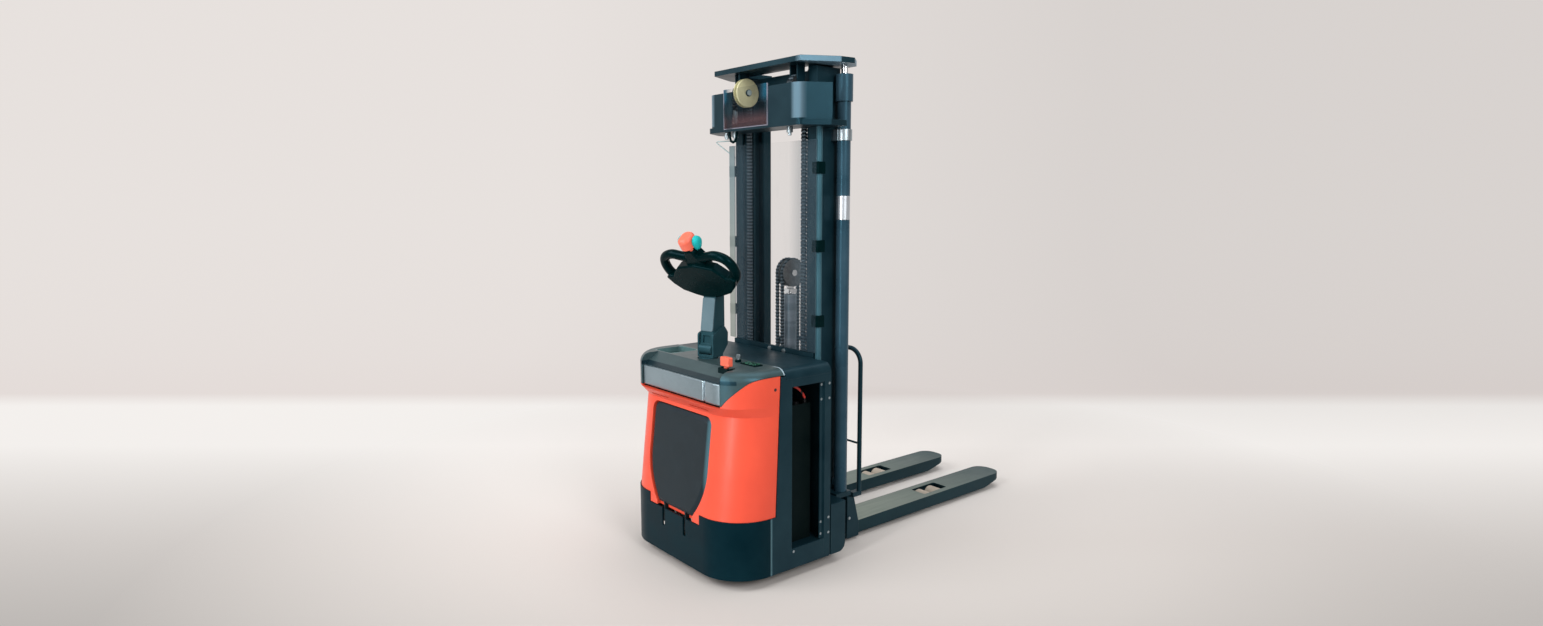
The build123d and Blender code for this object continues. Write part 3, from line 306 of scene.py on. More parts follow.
def dashGrain(name):
    # grained plastic: painted shade in a dark strip above the bar, a paler rim round the tray, the tray's
    # walls painted in the mat's pale teal as painted light, and a painted highlight on the rear edge
    f, d = Finish(name), dashLook
    cloud = f.noise(plasticLook["cloud"], 4)
    colour = f.mix(f.ramp(cloud, 0.3, 0.75), d["dark"], d["pale"])
    # painted shade: a dark strip on the slope above the bar
    strip = (f.axis("Z") < d["stripHigh"]) * (f.axis("Y") < d["stripRear"]) * (f.axis("Z") > d["stripLow"])
    colour = f.mix(strip, colour, d["strip"])
    apart = [f.maths("ABSOLUTE", f.axis(axis) - centre) - half
             for axis, centre, half in zip("XY", d["tray"], d["trayHalf"])]
    edge = f.maths("MAXIMUM", *apart)
    colour = f.mix((edge > 0.0) * (edge < d["rimWide"]) * (f.axis("Z") > d["rimLow"]), colour, d["rim"])
    # painted light: the tray's walls take the pale teal of its mat
    wall = (edge < d["matSpill"]) * (f.axis("Z") < d["matHigh"]) * (f.axis("Z") > d["matLow"])
    colour = f.mix(wall, colour, d["mat"])
    # painted highlight on the right of the dash's rear edge
    seam = (f.axis("Y") > d["seamFront"]) * (f.axis("X") > d["seamRight"]) * (f.axis("Z") > d["seamLow"])
    colour = f.mix(seam, colour, d["seam"])
    return f.shade(Base_Color=colour, Roughness=f.vary(cloud, *d["rough"]),
                   Normal=f.bump(f.cells(d["grain"]), d["depth"], d["edge"]),
                   Specular_IOR_Level=d["shine"], Specular_Tint=coolTint)


brushLook = {"line": 0.0012, "cloud": 0.05, "edge": 0.0015, "dull": 0.82, "stain": 0.6, "stained": 0.25}


def brushedMetal(name, colour, rough, along, depth=0.00004):
    # fine lines along the brushing, and faint darker clouds
    f = Finish(name)
    lines = f.noise(brushLook["line"], 5, 0.7, f.stretch(along))
    cloud = f.noise(brushLook["cloud"], 4)
    tone = f.mix(f.vary(lines), times(brushLook["dull"], colour), colour)
    tone = f.mix(f.ramp(cloud, 0.5, 0.85) * brushLook["stained"], tone, times(brushLook["stain"], colour))
    return f.shade(Base_Color=tone, Roughness=f.vary(lines, rough - 0.07, rough + 0.09), Metallic=1.0,
                   Normal=f.bump(lines, depth, brushLook["edge"]))


oilLook = {"cloud": 0.012, "streak": 0.004, "upright": (1, 1, 0.15), "tone": (0.07, 0.05, 0.04),
           "streaked": 0.4, "worn": 1.9, "lift": 0.01, "spread": 0.18, "depth": 0.00012, "edge": 0.001}


def oiledSteel(name, colour, rough, metal=0.85):
    # dark steel with worn, paler clouds and upright streaks of oil
    f = Finish(name)
    cloud = f.noise(oilLook["cloud"], 6, 0.7)
    streak = f.noise(oilLook["streak"], 4, 0.6, f.stretch(oilLook["upright"]))
    worn = tuple(oilLook["worn"] * c + oilLook["lift"] for c in colour)
    tone = f.mix(f.ramp(cloud, 0.35, 0.7), colour, worn)
    tone = f.mix(f.ramp(streak, 0.6, 0.8) * oilLook["streaked"], tone, oilLook["tone"])
    return f.shade(Base_Color=tone, Roughness=f.vary(cloud, rough, rough + oilLook["spread"]), Metallic=metal,
                   Normal=f.bump(cloud, oilLook["depth"], oilLook["edge"]))


castLook = {"cloud": 0.025, "speck": 0.003, "specked": 0.3, "dull": 0.6, "rough": (0.4, 0.58), "grain": 0.002,
            "depth": 0.00008, "edge": 0.002, "shine": 0.4}


def castPolymer(name, colour, stain):
    # cast polymer, stained in clouds and specked with dirt
    f = Finish(name)
    cloud = f.noise(castLook["cloud"], 5, 0.6)
    specks = f.ramp(f.noise(castLook["speck"], 3), 0.62, 0.75)
    tone = f.mix(f.ramp(cloud, 0.35, 0.75), colour, stain)
    tone = f.mix(specks * castLook["specked"], tone, times(castLook["dull"], stain))
    return f.shade(Base_Color=tone, Roughness=f.vary(cloud, *castLook["rough"]),
                   Normal=f.bump(f.noise(castLook["grain"], 3), castLook["depth"], castLook["edge"]),
                   Specular_IOR_Level=castLook["shine"])


guardLook = {"haze": (0.065, 0.105, 0.135), "rim": (0.19, 0.26, 0.28), "rimLow": (0.30, 0.33, 0.30),
             "rail": (0.13, 0.20), "rimEdge": (-0.268, -0.274), "rimFade": (1.75, 1.20),
             "smear": 0.05, "upright": (1, 1, 0.25), "rough": (0.06, 0.18), "shine": 0.3,
             "alpha": 0.025, "railAlpha": 0.17, "rimAlpha": 0.55, "smearAlpha": 0.03}
windowLook = {"rear": -0.5, "left": -0.199, "right": 0.122, "low": 1.950,
              "line": (0.20, 0.21, 0.26), "lineWide": 0.0045, "lineAlpha": 0.30,
              "smoke": (0.085, 0.050, 0.056), "smokeFade": (1.985, 2.030),
              "alphaFade": (1.985, 2.035, 0.52, 0.09),
              "dim": (0.020, 0.034, 0.046), "blue": (0.010, 0.085, 0.140),
              "corner": (0.062, 0.020), "cornerHeight": (2.045, 2.085), "cornerAlpha": 0.66,
              "stud": -0.155, "studBand": (0.014, 0.030, 0.45, 1.0)}


def clearSheet(name):
    # guard: faint in the middle, hazier over the rails, a pale strip at the left end
    # crosshead's window: smoky and reddish low down, painted shade in the colour of the dark inside seen
    # through it; blue in its upper corners, a pale line round it
    f, g, w = Finish(name), guardLook, windowLook
    rail = f.ramp(f.maths("ABSOLUTE", f.axis("X")), *g["rail"])
    rim = f.ramp(f.axis("X"), *g["rimEdge"])
    smear = f.ramp(f.noise(g["smear"], 5, 0.65, f.stretch(g["upright"])), 0.5, 0.85)
    nearest = f.maths("MINIMUM", f.axis("X") - w["left"], w["right"] - f.axis("X"))
    nearest = f.maths("MINIMUM", nearest, f.axis("Z") - w["low"])
    line = nearest < w["lineWide"]
    corner = f.ramp(nearest, *w["corner"]) * f.ramp(f.axis("Z"), *w["cornerHeight"])
    # painted shade: the smoky, reddish tone low down in the window
    smoke = f.mix(f.ramp(f.axis("Z"), *w["smokeFade"]), w["smoke"], f.mix(corner, w["dim"], w["blue"]))
    smoke = f.mix(line, smoke, w["line"])
    strip = f.mix(f.ramp(f.axis("Z"), *g["rimFade"]), g["rim"], g["rimLow"])
    window = f.axis("Y") < w["rear"]
    colour = f.mix(window, f.mix(rim, g["haze"], strip), smoke)
    sheet = g["alpha"] + rail * g["railAlpha"] + rim * g["rimAlpha"] + smear * g["smearAlpha"]
    pane = f.ramp(f.axis("Z"), *w["alphaFade"]) + corner * w["cornerAlpha"] + line * w["lineAlpha"]
    pane = pane * f.ramp(f.maths("ABSOLUTE", f.axis("X") - w["stud"]), *w["studBand"])
    return f.shade(Base_Color=colour, Roughness=f.ramp(smear, 0, 1, *g["rough"]),
                   Alpha=sheet + window * (pane - sheet), Specular_IOR_Level=g["shine"])


rubberLook = {"dark": (0.011, 0.013, 0.015), "pale": (0.017, 0.020, 0.023), "cloud": 0.08,
              "rough": (0.42, 0.56), "dust": 0.03, "dusty": 0.12, "dustTone": (0.07, 0.075, 0.08),
              "pip": 0.0022, "depth": 0.00020, "edge": 0.003, "shine": 0.3,
              "rim": (0.196, 0.212), "rimLow": 0.36, "rimHighlight": (0.060, 0.130, 0.155)}


def coarseRubber(name):
    # pimpled rubber, dusty in places, with a painted highlight along its right edge
    f, r = Finish(name), rubberLook
    cloud = f.noise(r["cloud"], 4)
    dust = f.ramp(f.noise(r["dust"], 7, 0.7), 0.55, 0.8)
    tone = f.mix(f.ramp(cloud, 0.3, 0.75), r["dark"], r["pale"])
    tone = f.mix(dust * r["dusty"], tone, r["dustTone"])
    tone = f.mix(f.ramp(f.axis("X"), *r["rim"]) * (f.axis("Z") > r["rimLow"]), tone, r["rimHighlight"])
    return f.shade(Base_Color=tone, Roughness=f.vary(cloud, *r["rough"]),
                   Normal=f.bump(f.cells(r["pip"]), r["depth"], r["edge"]),
                   Specular_IOR_Level=r["shine"], Specular_Tint=coolTint)


cableLook = {"deep": (0.50, 0.030, 0.022), "bright": (0.62, 0.060, 0.045), "black": (0.004, 0.005, 0.006),
             "blackBandFront": -0.582, "blackBandRear": -0.570, "capTop": 0.764, "cloud": 0.02,
             "rough": (0.3, 0.45), "grain": 0.002, "depth": 0.00006, "edge": 0.001}


def cableSheath(name):
    # red cable, black over a short length in its middle and below the top of the black caps
    f, c = Finish(name), cableLook
    cloud = f.noise(c["cloud"], 4)
    colour = f.mix(f.vary(cloud), c["deep"], c["bright"])
    blackBand = (f.axis("Y") > c["blackBandFront"]) * (f.axis("Y") < c["blackBandRear"])
    colour = f.mix(blackBand, colour, c["black"])
    colour = f.mix(f.axis("Z") < c["capTop"], colour, c["black"])
    return f.shade(Base_Color=colour, Roughness=f.vary(cloud, *c["rough"]),
                   Normal=f.bump(f.noise(c["grain"], 3), c["depth"], c["edge"]))


glassLook = {"dark": (0.010, 0.022, 0.020), "lit": (0.10, 0.42, 0.25), "rows": 60.0, "breaks": 0.012,
             "haze": 0.01, "rough": (0.10, 0.18), "coat": 0.5}


def displayGlass(name):
    # dark glass over rows of soft green bars
    f, g = Finish(name), glassLook
    sockets = {"Vector": f.place, "Scale": g["rows"], "Distortion": 0.0}
    rows = f.node("ShaderNodeTexWave", {"bands_direction": "Y"}, sockets)
    lit = f.ramp(rows, 0.62, 0.75) * f.ramp(f.noise(g["breaks"], 2), 0.42, 0.55)
    rough = f.vary(f.noise(g["haze"], 3), *g["rough"])
    return f.shade(Base_Color=f.mix(lit, g["dark"], g["lit"]), Roughness=rough, Coat_Weight=g["coat"])


finishes = {
    "slate_steel": slateSteel("slatePowderCoat", slateLook).material,
    "bodySteel": bodySteel("bodyPowderCoat", slateLook),
    "skirtSteel": bodySteel("skirtPowderCoat", coat(
        colour=(0.0008, 0.0105, 0.0160), pale=(0.0024, 0.0165, 0.0235), shine=0.10)),
    "forkSteel": forkSteel("forkPowderCoat"),
    "innerSteel": innerSteel("innerPowderCoat"),
    "plateSteel": plateSteel("platePowderCoat"),
    "crossSteel": crossSteel("crossPowderCoat"),
    "baseSteel": slateSteel("basePaint", coat(
        colour=(0.011, 0.040, 0.050), pale=(0.019, 0.053, 0.064))).material,
    "ramSteel": slateSteel("ramPaint", coat(
        colour=(0.019, 0.050, 0.074), pale=(0.033, 0.070, 0.099), rough=0.28, edge=0.002)).material,
    "pipeSteel": slateSteel("pipePaint", coat(
        colour=(0.032, 0.086, 0.110), pale=(0.048, 0.114, 0.142), rough=0.34, edge=0.002)).material,
    "grey_metal": slateSteel("columnPaint", coat(
        colour=(0.090, 0.140, 0.165), pale=(0.115, 0.170, 0.195), rough=0.42, edge=0.002)).material,
    "red_cover": redShell("redMouldedShell"),
    "dark_plastic": dashGrain("dashGrain"),
    "black_plastic": grainedPlastic("blackGrain", dark=(0.0, 0.0064, 0.0070), pale=(0.0, 0.0090, 0.0098),
                                    rough=0.22, grain=0.0012, depth=0.00003, edge=0.003, shine=0.07),
    "red_plastic": grainedPlastic("redKnob", dark=(0.78, 0.115, 0.060), pale=(0.82, 0.17, 0.105),
                                  rough=0.34, grain=0.0016, depth=0.00005, edge=0.004),
    "turquoise": grainedPlastic("turquoiseKnob", dark=(0.006, 0.33, 0.33), pale=(0.014, 0.40, 0.40),
                                rough=0.42, grain=0.0016, depth=0.00005, edge=0.004),
    "cells": grainedPlastic("batteryCase", dark=(0.0020, 0.0042, 0.0036), pale=(0.0045, 0.0075, 0.0065),
                            rough=0.6, grain=0.0014, depth=0.00008, shine=0.12),
    "trayMat": grainedPlastic("trayMat", dark=(0.115, 0.205, 0.205), pale=(0.150, 0.250, 0.250),
                              rough=0.5, grain=0.0020, depth=0.00014, shine=0.3),
    "paleEdge": grainedPlastic("paleEdge", dark=(0.34, 0.42, 0.42), pale=(0.44, 0.52, 0.52),
                               rough=0.45, grain=0.0016, depth=0.00006, edge=0.001, shine=0.3),
    "zinc": grainedPlastic("zincPlate", dark=(0.30, 0.36, 0.39), pale=(0.42, 0.49, 0.52),
                           rough=0.32, grain=0.0016, depth=0.00004, edge=0.001, shine=0.6),
    "silver": brushedMetal("brushedBar", (0.36, 0.46, 0.515), rough=0.36, along=(0.04, 1, 1)),
    "bright_steel": brushedMetal("machinedSteel", (0.42, 0.50, 0.54), rough=0.36, along=(1, 1, 0.2)),
    "chrome": brushedMetal("hardChrome", (0.80, 0.83, 0.86), rough=0.16, along=(1, 1, 0.02), depth=0.00001),
    "paleBand": brushedMetal("paleBand", (0.66, 0.71, 0.76), rough=0.42, along=(1, 1, 0.2)),
    "dark_steel": oiledSteel("oiledSteel", (0.022, 0.025, 0.028), rough=0.38, metal=0.6),
    "pulleyIron": oiledSteel("pulleyIron", (0.100, 0.108, 0.114), rough=0.45, metal=0.3),
    "cast": oiledSteel("machinedCasting", (0.06, 0.06, 0.065), rough=0.5),
    "chainSteel": chainIron("chainSteel"),
    "cream": castPolymer("creamPolymer", (0.64, 0.62, 0.38), stain=(0.55, 0.52, 0.31)),
    "wheelPolymer": castPolymer("wheelPolymer", (0.46, 0.40, 0.33), stain=(0.38, 0.33, 0.27)),
    "clear": clearSheet("clearSheet"),
    "black_rubber": coarseRubber("platformRubber"),
    "displayGlass": displayGlass("displayGlass"),
    "cableSheath": cableSheath("cableSheath"),
}
nodeFinish = {"battery_caps": "cableSheath", "forks": "forkSteel", "front_skirt": "skirtSteel",
              "side_panels": "bodySteel", "lift_tubes": "ramSteel", "mast_pipe": "pipeSteel",
              "inner_mast": "innerSteel", "middle_mast": "plateSteel", "free_pulley": "pulleyIron",
              "crosshead": "crossSteel", "tiller_column": "baseSteel", "steering_column": "baseSteel"}
nodeFinish.update({node: "wheelPolymer" for node in nodes if "wheel" in node})
for part in frame["record"]["subparts"]:
    chosen = finishes[nodeFinish.get(part["node"], part["material_slot"])]
    target = nodes[part["node"]]
    if not target.material_slots:
        target.data.materials.append(chosen)
    for held in target.material_slots:
        held.material = chosen
print("finishes set:", len(finishes))


# Camera where the photographer stood; focal length and width are in the picture's pixels
cameraSetup = {"place": (3.0301, -2.9816, 1.6126), "azimuth": 50.24, "pitch": 7.45, "focal": 842.26,
               "width": 1543, "sensor": 36}
lens = bpy.data.cameras.new("photoCamera")
lens.sensor_fit, lens.sensor_width = "HORIZONTAL", cameraSetup["sensor"]
lens.lens = cameraSetup["focal"] / cameraSetup["width"] * cameraSetup["sensor"]
camera = bpy.data.objects.new("photoCamera", lens)
bpy.context.scene.collection.objects.link(camera)
camera.location = cameraSetup["place"]
camera.rotation_euler = (math.radians(90 - cameraSetup["pitch"]), 0, math.radians(cameraSetup["azimuth"]))
bpy.context.scene.camera = camera


def gridFaces(rows, columns, wrap):
    # quads between neighbours of a grid of points; wrap joins the last column to the first
    r = np.arange(rows - 1)[:, None]
    c = np.arange(columns if wrap else columns - 1)[None, :]
    n = (c + 1) % columns
    corners = [r * columns + c, r * columns + n, (r + 1) * columns + n, (r + 1) * columns + c]
    return np.stack(corners, -1).reshape(-1, 4)


def capped(rows, flip=1):
    # a closed skin: quads between the rings, and a flat face on the first and the last
    count, last = len(rows[0]), len(rows) - 1
    ends = [list(range(count))[::-flip], list(range(last * count, (last + 1) * count))[::flip]]
    return np.concatenate(rows), gridFaces(len(rows), count, True).tolist() + ends


def prisms(near, far):
    # near and far are stacks of matching outlines; each pair becomes a closed prism
    count, corners = near.shape[:2]
    points = np.concatenate([near, far], 1).reshape(-1, 3)
    first = 2 * corners * np.arange(count)[:, None]
    ring = np.arange(corners)[None, :]
    after = (ring + 1) % corners
    walls = np.stack([first + ring, first + after, first + corners + after, first + corners + ring], -1)
    ends = np.concatenate([first + ring[:, ::-1], first + corners + ring])
    return points, walls.reshape(-1, 4).tolist() + ends.tolist()


def joined(parts):
    points, faces, base = [], [], 0
    for some, these in parts:
        faces += [[corner + base for corner in face] for face in these]
        points.append(some)
        base += len(some)
    return np.concatenate(points), faces


def addPiece(name, points, faces, finish, smooth=False):
    mesh = bpy.data.meshes.new(name)
    mesh.from_pydata(np.asarray(points, float).reshape(-1, 3).tolist(), [], faces)
    if smooth:
        mesh.shade_smooth()
    mesh.materials.append(finishes[finish])
    made = bpy.data.objects.new(name, mesh)
    bpy.context.scene.collection.objects.link(made)
    return made


# Leaf chains; a row says where the plates of every other link stand across the chain
mastRow = {"even": (-0.0120, -0.0040, 0.0040, 0.0120), "odd": (-0.0080, 0.0, 0.0080),
           "plate": 0.0034, "half": 0.0145}
freeRow = {"even": (-0.0060, 0.0, 0.0060), "odd": (-0.0030, 0.0030), "plate": 0.0026, "half": 0.0075}
loopLook = {"deep": 0.008, "inset": 0.0005, "rearLift": 0.08}


def chainLinks(pins, row):
    # a link is a figure of eight: half circles round two pins, and a waist that follows a squared cosine
    deep = chainLook["deep"]
    spot = np.linspace(-0.5, 0.5, 5)
    half = deep - chainLook["waist"] * np.cos(np.pi * spot) ** 2
    turn = np.linspace(0, np.pi, 6)[1:-1]
    step = np.linalg.norm(pins[1] - pins[0])
    along = np.r_[spot * step, step / 2 + deep * np.sin(turn), -spot * step, -step / 2 - deep * np.sin(turn)]
    out = np.r_[half, deep * np.cos(turn), -half, -deep * np.cos(turn)]
    run = pins[1:] - pins[:-1]
    run = run / np.linalg.norm(run, axis=1, keepdims=True)
    square = np.stack([np.zeros(len(run)), -run[:, 2], run[:, 1]], -1)
    middle = (pins[1:] + pins[:-1]) / 2
    plates = middle[:, None] + along[None, :, None] * run[:, None] + out[None, :, None] * square[:, None]
    sideways = np.array([row["plate"] / 2, 0, 0])
    parts = []
    for start, offsets in ((0, row["even"]), (1, row["odd"])):
        for offset in offsets:
            shifted = plates[start::2] + np.array([offset, 0, 0])
            parts.append(prisms(shifted + sideways, shifted - sideways))
    circle = np.linspace(0, 2 * np.pi, 9)[:-1]
    rim = chainLook["pin"] * np.stack([np.zeros(8), np.cos(circle), np.sin(circle)], -1)
    ends = np.array([row["half"], 0, 0])
    parts.append(prisms(pins[:, None] + rim + ends, pins[:, None] + rim - ends))
    return joined(parts)


def chainPiece(name, sides, y, z, row):
    parts = [chainLinks(np.stack([np.full_like(z, x), y, z], -1), row) for x in sides]
    return addPiece(name, *joined(parts), "chainSteel")


def chainRun(name, sides, y, low, high, row):
    # upright run, its links evened out to fill the length
    steps = max(2, round((high - low) / chainLook["pitch"]))
    z = np.linspace(low, high, steps + 1)
    return chainPiece(name, sides, np.full_like(z, y), z, row)


def chainArc(name, sides, y, z, radius, row):
    # half circle over the pulley
    turn = np.linspace(0, np.pi, round(np.pi * radius / chainLook["pitch"]) + 1)
    return chainPiece(name, sides, y - radius * np.cos(turn), z + radius * np.sin(turn), row)


def loopSizes(node, row):
    # where a loop's two sides, its pulley and its foot are, from the box of the plain loop in the frame
    low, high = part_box(node)
    edge = row["half"] + loopLook["inset"]
    radius = (high[1] - low[1]) / 2 - loopLook["deep"]
    z = high[2] - radius - loopLook["deep"]
    return (high[0] - edge, -high[0] + edge), (high[1] + low[1]) / 2, z, radius, low[2]


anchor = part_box("mast_fittings")[1][2]
sides, y, z, radius, foot = loopSizes("mast_chains", mastRow)
studs = [(x, y - radius) for x in sides]
front = chainRun("mastChainFront", sides, y - radius, anchor, z, mastRow)
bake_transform(front)
rear = chainRun("mastChainRear", sides, y + radius, foot, z, mastRow)
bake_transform(rear)
arc = chainArc("mastChainArc", sides, y, z, radius, mastRow)
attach(arc, "middle_mast")
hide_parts("mast_chains")
sides, y, z, radius, foot = loopSizes("carriage_chain", freeRow)
front = chainRun("freeChainFront", sides, y - radius, foot, z, freeRow)
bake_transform(front)
foot = foot + loopLook["rearLift"]
rear = chainRun("freeChainRear", sides, y + radius, foot, z, freeRow)
2 * z - foot
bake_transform(rear)
arc = chainArc("freeChainArc", sides, y, z, radius, freeRow)
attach(arc, "free_lift")
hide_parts("carriage_chain")
print("chains ready")


# Sizes of the pad run from the front of the truck and from the pad's foot; a profile is (inset, depth)
frontPlane = -1.025
padLook = {"foot": 0.274, "tall": 0.442, "topHalf": 0.222, "corner": 0.034, "front": 0.00127, "lean": 0.1122,
           "ease": 0.9, "middle": 0.55, "shares": (0.8, 0.5, 0.2, 0.02)}
padCurve = {"u": (0.132, 0.176, 0.208, 0.222), "v": (0.0, 0.060, 0.130, 0.230)}
padProfile = ((0.0, -0.0199), (0.0, -0.0115), (0.0015, -0.0095), (0.019, -0.0008), (0.022, 0.0), (0.026, 0.0))
armShape = ((0.008, 0.205), (0.034, 0.205), (0.032, 0.300), (0.026, 0.318), (0.012, 0.318), (0.006, 0.276))
armLook = {"x": 0.082, "half": 0.004, "eye": 0.016, "pivot": (0.022, 0.205)}


def unit(vectors):
    return vectors / np.linalg.norm(vectors, axis=1, keepdims=True)


def padOutline():
    # right half from the foot up a smooth curve, round the corner by an arc, then mirrored
    v = np.linspace(0, 1, 24) ** padLook["ease"] * padCurve["v"][-1]
    bend = np.polyfit(padCurve["v"], padCurve["u"], 3)
    rise = np.stack([np.polyval(bend, v), v], -1)
    turn = np.linspace(0, np.pi / 2, 12)
    centre = np.array([padLook["topHalf"] - padLook["corner"], padLook["tall"] - padLook["corner"]])
    arc = centre + padLook["corner"] * np.stack([np.cos(turn), np.sin(turn)], -1)
    right = np.concatenate([rise, arc])
    return np.concatenate([right, right[::-1] * (-1, 1)])


def platformPad():
    # rings of the outline, each set in along its normal and back by the profile, on a leaning plane
    ring = padOutline()
    normal = unit(np.roll(ring, -1, 0) - ring) + unit(ring - np.roll(ring, 1, 0))
    normal = np.stack([-normal[:, 1], normal[:, 0]], -1) / np.linalg.norm(normal, axis=1, keepdims=True)
    middle = np.array([0, padLook["middle"] * padLook["tall"]])
    inset, depth = padProfile[-1]
    last = ring + inset * normal
    flats = [(ring + inset * normal, depth) for inset, depth in padProfile]
    flats += [(middle + share * (last - middle), depth) for share in padLook["shares"]]
    lean = padLook["lean"]
    scale = math.hypot(1, lean)
    rows = []
    for flat, depth in flats:
        y = padLook["front"] + frontPlane + (flat[:, 1] * lean - depth) / scale
        z = padLook["foot"] + (flat[:, 1] + depth * lean) / scale
        rows.append(np.stack([flat[:, 0], y, z], -1))
    parts = [capped(rows)]
    circle = np.linspace(0, 2 * np.pi, 25)[:-1]
    eye = armLook["pivot"] + armLook["eye"] * np.stack([np.cos(circle), np.sin(circle)], -1)
    sideways = np.array([armLook["half"], 0, 0])
    for x in (-armLook["x"], armLook["x"]):
        for shape in (np.array(armShape), eye):
            outline = np.column_stack([np.full(len(shape), x), shape[:, 0] + frontPlane, shape[:, 1]])
            parts.append(prisms((outline - sideways)[None], (outline + sideways)[None]))
    pad = addPiece("platformPad", *joined(parts), "black_rubber")
    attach(pad, "platform")
    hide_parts("platform")


platformPad()
print("platform ready")


# Stations along the bar: a named place, a step from it, and how far the front face stands back there
barLook = {"left": -0.280, "middle": 0.0, "flat": 0.197, "groove": 0.2045, "block": 0.268, "right": 0.306,
           "front": 0.028, "rear": 0.0399, "low": 0.787, "high": 0.875, "round": 0.005,
           "least": 0.0005, "crease": 0.7}
barStations = (
    ("left", 0.0, 0.0075), ("left", 0.0015, 0.0040), ("left", 0.005, 0.0012), ("left", 0.011, 0.0),
    ("middle", 0.0, 0.0),
    ("flat", -0.012, 0.0), ("flat", -0.006, 0.0010), ("flat", -0.002, 0.0036), ("flat", 0.0, 0.0085),
    ("groove", 0.0, 0.0085), ("groove", 0.0015, 0.0036), ("groove", 0.005, 0.0010), ("groove", 0.009, 0.0),
    ("block", 0.0, 0.0), ("block", 0.004, 0.0006), ("right", -0.003, 0.0082), ("right", 0.0, 0.0105))


def frontBar():
    # the section is a rounded oblong; its front face steps back along the bar at the groove and the bent end
    b = barLook
    turn = np.linspace(0, np.pi / 2, 6)
    rows = []
    for place, step, back in barStations:
        face = b["front"] + back
        r = min(b["round"], b["rear"] - b["front"] - back - b["least"])
        low = np.stack([face + r - r * np.sin(turn), b["low"] + r - r * np.cos(turn)], -1)
        high = np.stack([face + r - r * np.cos(turn), b["high"] - r + r * np.sin(turn)], -1)
        loop = np.concatenate([[(b["rear"], b["low"])], low, high, [(b["rear"], b["high"])]])
        x = np.full(len(loop), b[place] + step)
        rows.append(np.column_stack([x, loop[:, 0] + frontPlane, loop[:, 1]]))
    bar = addPiece("frontBar", *capped(rows), "silver", True)
    bar.modifiers.new("creases", "EDGE_SPLIT").split_angle = b["crease"]
    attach(bar, "chassis")
    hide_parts("front_bar")


def slab(low, high):
    # a plain block given by two corners
    corner = np.array([(x, y, z) for x in (0, 1) for y in (0, 1) for z in (0, 1)])
    points = np.array(low) + corner * (np.array(high) - np.array(low))
    return points, [[0, 1, 3, 2], [4, 6, 7, 5], [0, 4, 5, 1], [2, 3, 7, 6], [0, 2, 6, 4], [1, 5, 7, 3]]


def disc(centre, radius, length, axis):
    # a short round bar from its first end along one axis
    turn = np.linspace(0, 2 * np.pi, 21)[:-1]
    along = "XYZ".index(axis)
    ring = np.insert(radius * np.stack([np.cos(turn), np.sin(turn)], -1), along, 0, 1)
    step = np.eye(3)[along] * length
    return prisms((ring + centre + step)[None], (ring + centre)[None])


def wire(path, radius, sides=8):
    # a round rod along a path of points
    path = np.array(path, float)
    along = unit(np.gradient(path, axis=0))
    first = unit(np.cross(along, (0.30, 0.52, 0.80)))  # any direction that no rod here follows
    second = np.cross(along, first)
    turn = np.linspace(0, 2 * np.pi, sides + 1)[:-1]
    ring = np.cos(turn)[:, None] * first[:, None] + np.sin(turn)[:, None] * second[:, None]
    return capped(path[:, None] + radius * ring, -1)


wingLook = {"inner": 0.033, "length": 0.024, "radius": 0.0255, "back": 0.011, "rise": 0.034, "tail": 0.012,
            "shaft": 0.006, "lean": 38.5, "shrink": 0.7, "swell": 0.8, "reach": 0.96, "taper": 5,
            "crease": 0.9}


def thumbWings():
    # a wing is a dome on the shaft: rings shrink by a cosine, and the outline swells towards the shaft
    w = wingLook
    joint = next(j for j in frame["record"]["behaviour"]["joints"] if j["name"] == "wing_turn")
    middle, across = np.array(joint["pos_m"]), np.array(joint["axis"], float)
    ahead, upright = np.array([across[1], -across[0], 0]), np.array([0, 0, 1])
    lean = math.radians(w["lean"])
    up = math.sin(lean) * ahead + math.cos(lean) * upright
    back = math.sin(lean) * upright - math.cos(lean) * ahead
    turn = np.linspace(0, 2 * np.pi, 49)[:-1]
    towards = np.maximum(0, np.cos(turn - math.atan2(-w["rise"], -w["back"])))
    outline = w["radius"] + w["tail"] * towards ** w["taper"]
    parts = [wire([middle - w["inner"] * across, middle + w["inner"] * across], w["shaft"], 16)]
    for side in (1, -1):
        rows = []
        for climb in np.linspace(0, w["reach"] * np.pi / 2, 11):
            ring = math.cos(climb) ** w["shrink"] * outline
            x = w["inner"] + w["length"] * math.sin(climb) ** w["swell"]
            rows.append(middle + side * x * across + np.outer(w["back"] + ring * np.cos(turn), back)
                        + np.outer(w["rise"] + ring * np.sin(turn), up))
        points, faces = capped(rows)
        parts.append((points, [face[::side] for face in faces]))
    wings = addPiece("thumbWings", *joined(parts), "turquoise", True)
    wings.modifiers.new("creases", "EDGE_SPLIT").split_angle = w["crease"]
    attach(wings, "thumb_wings")
    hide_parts("thumb_wings")


frontBar()
thumbWings()


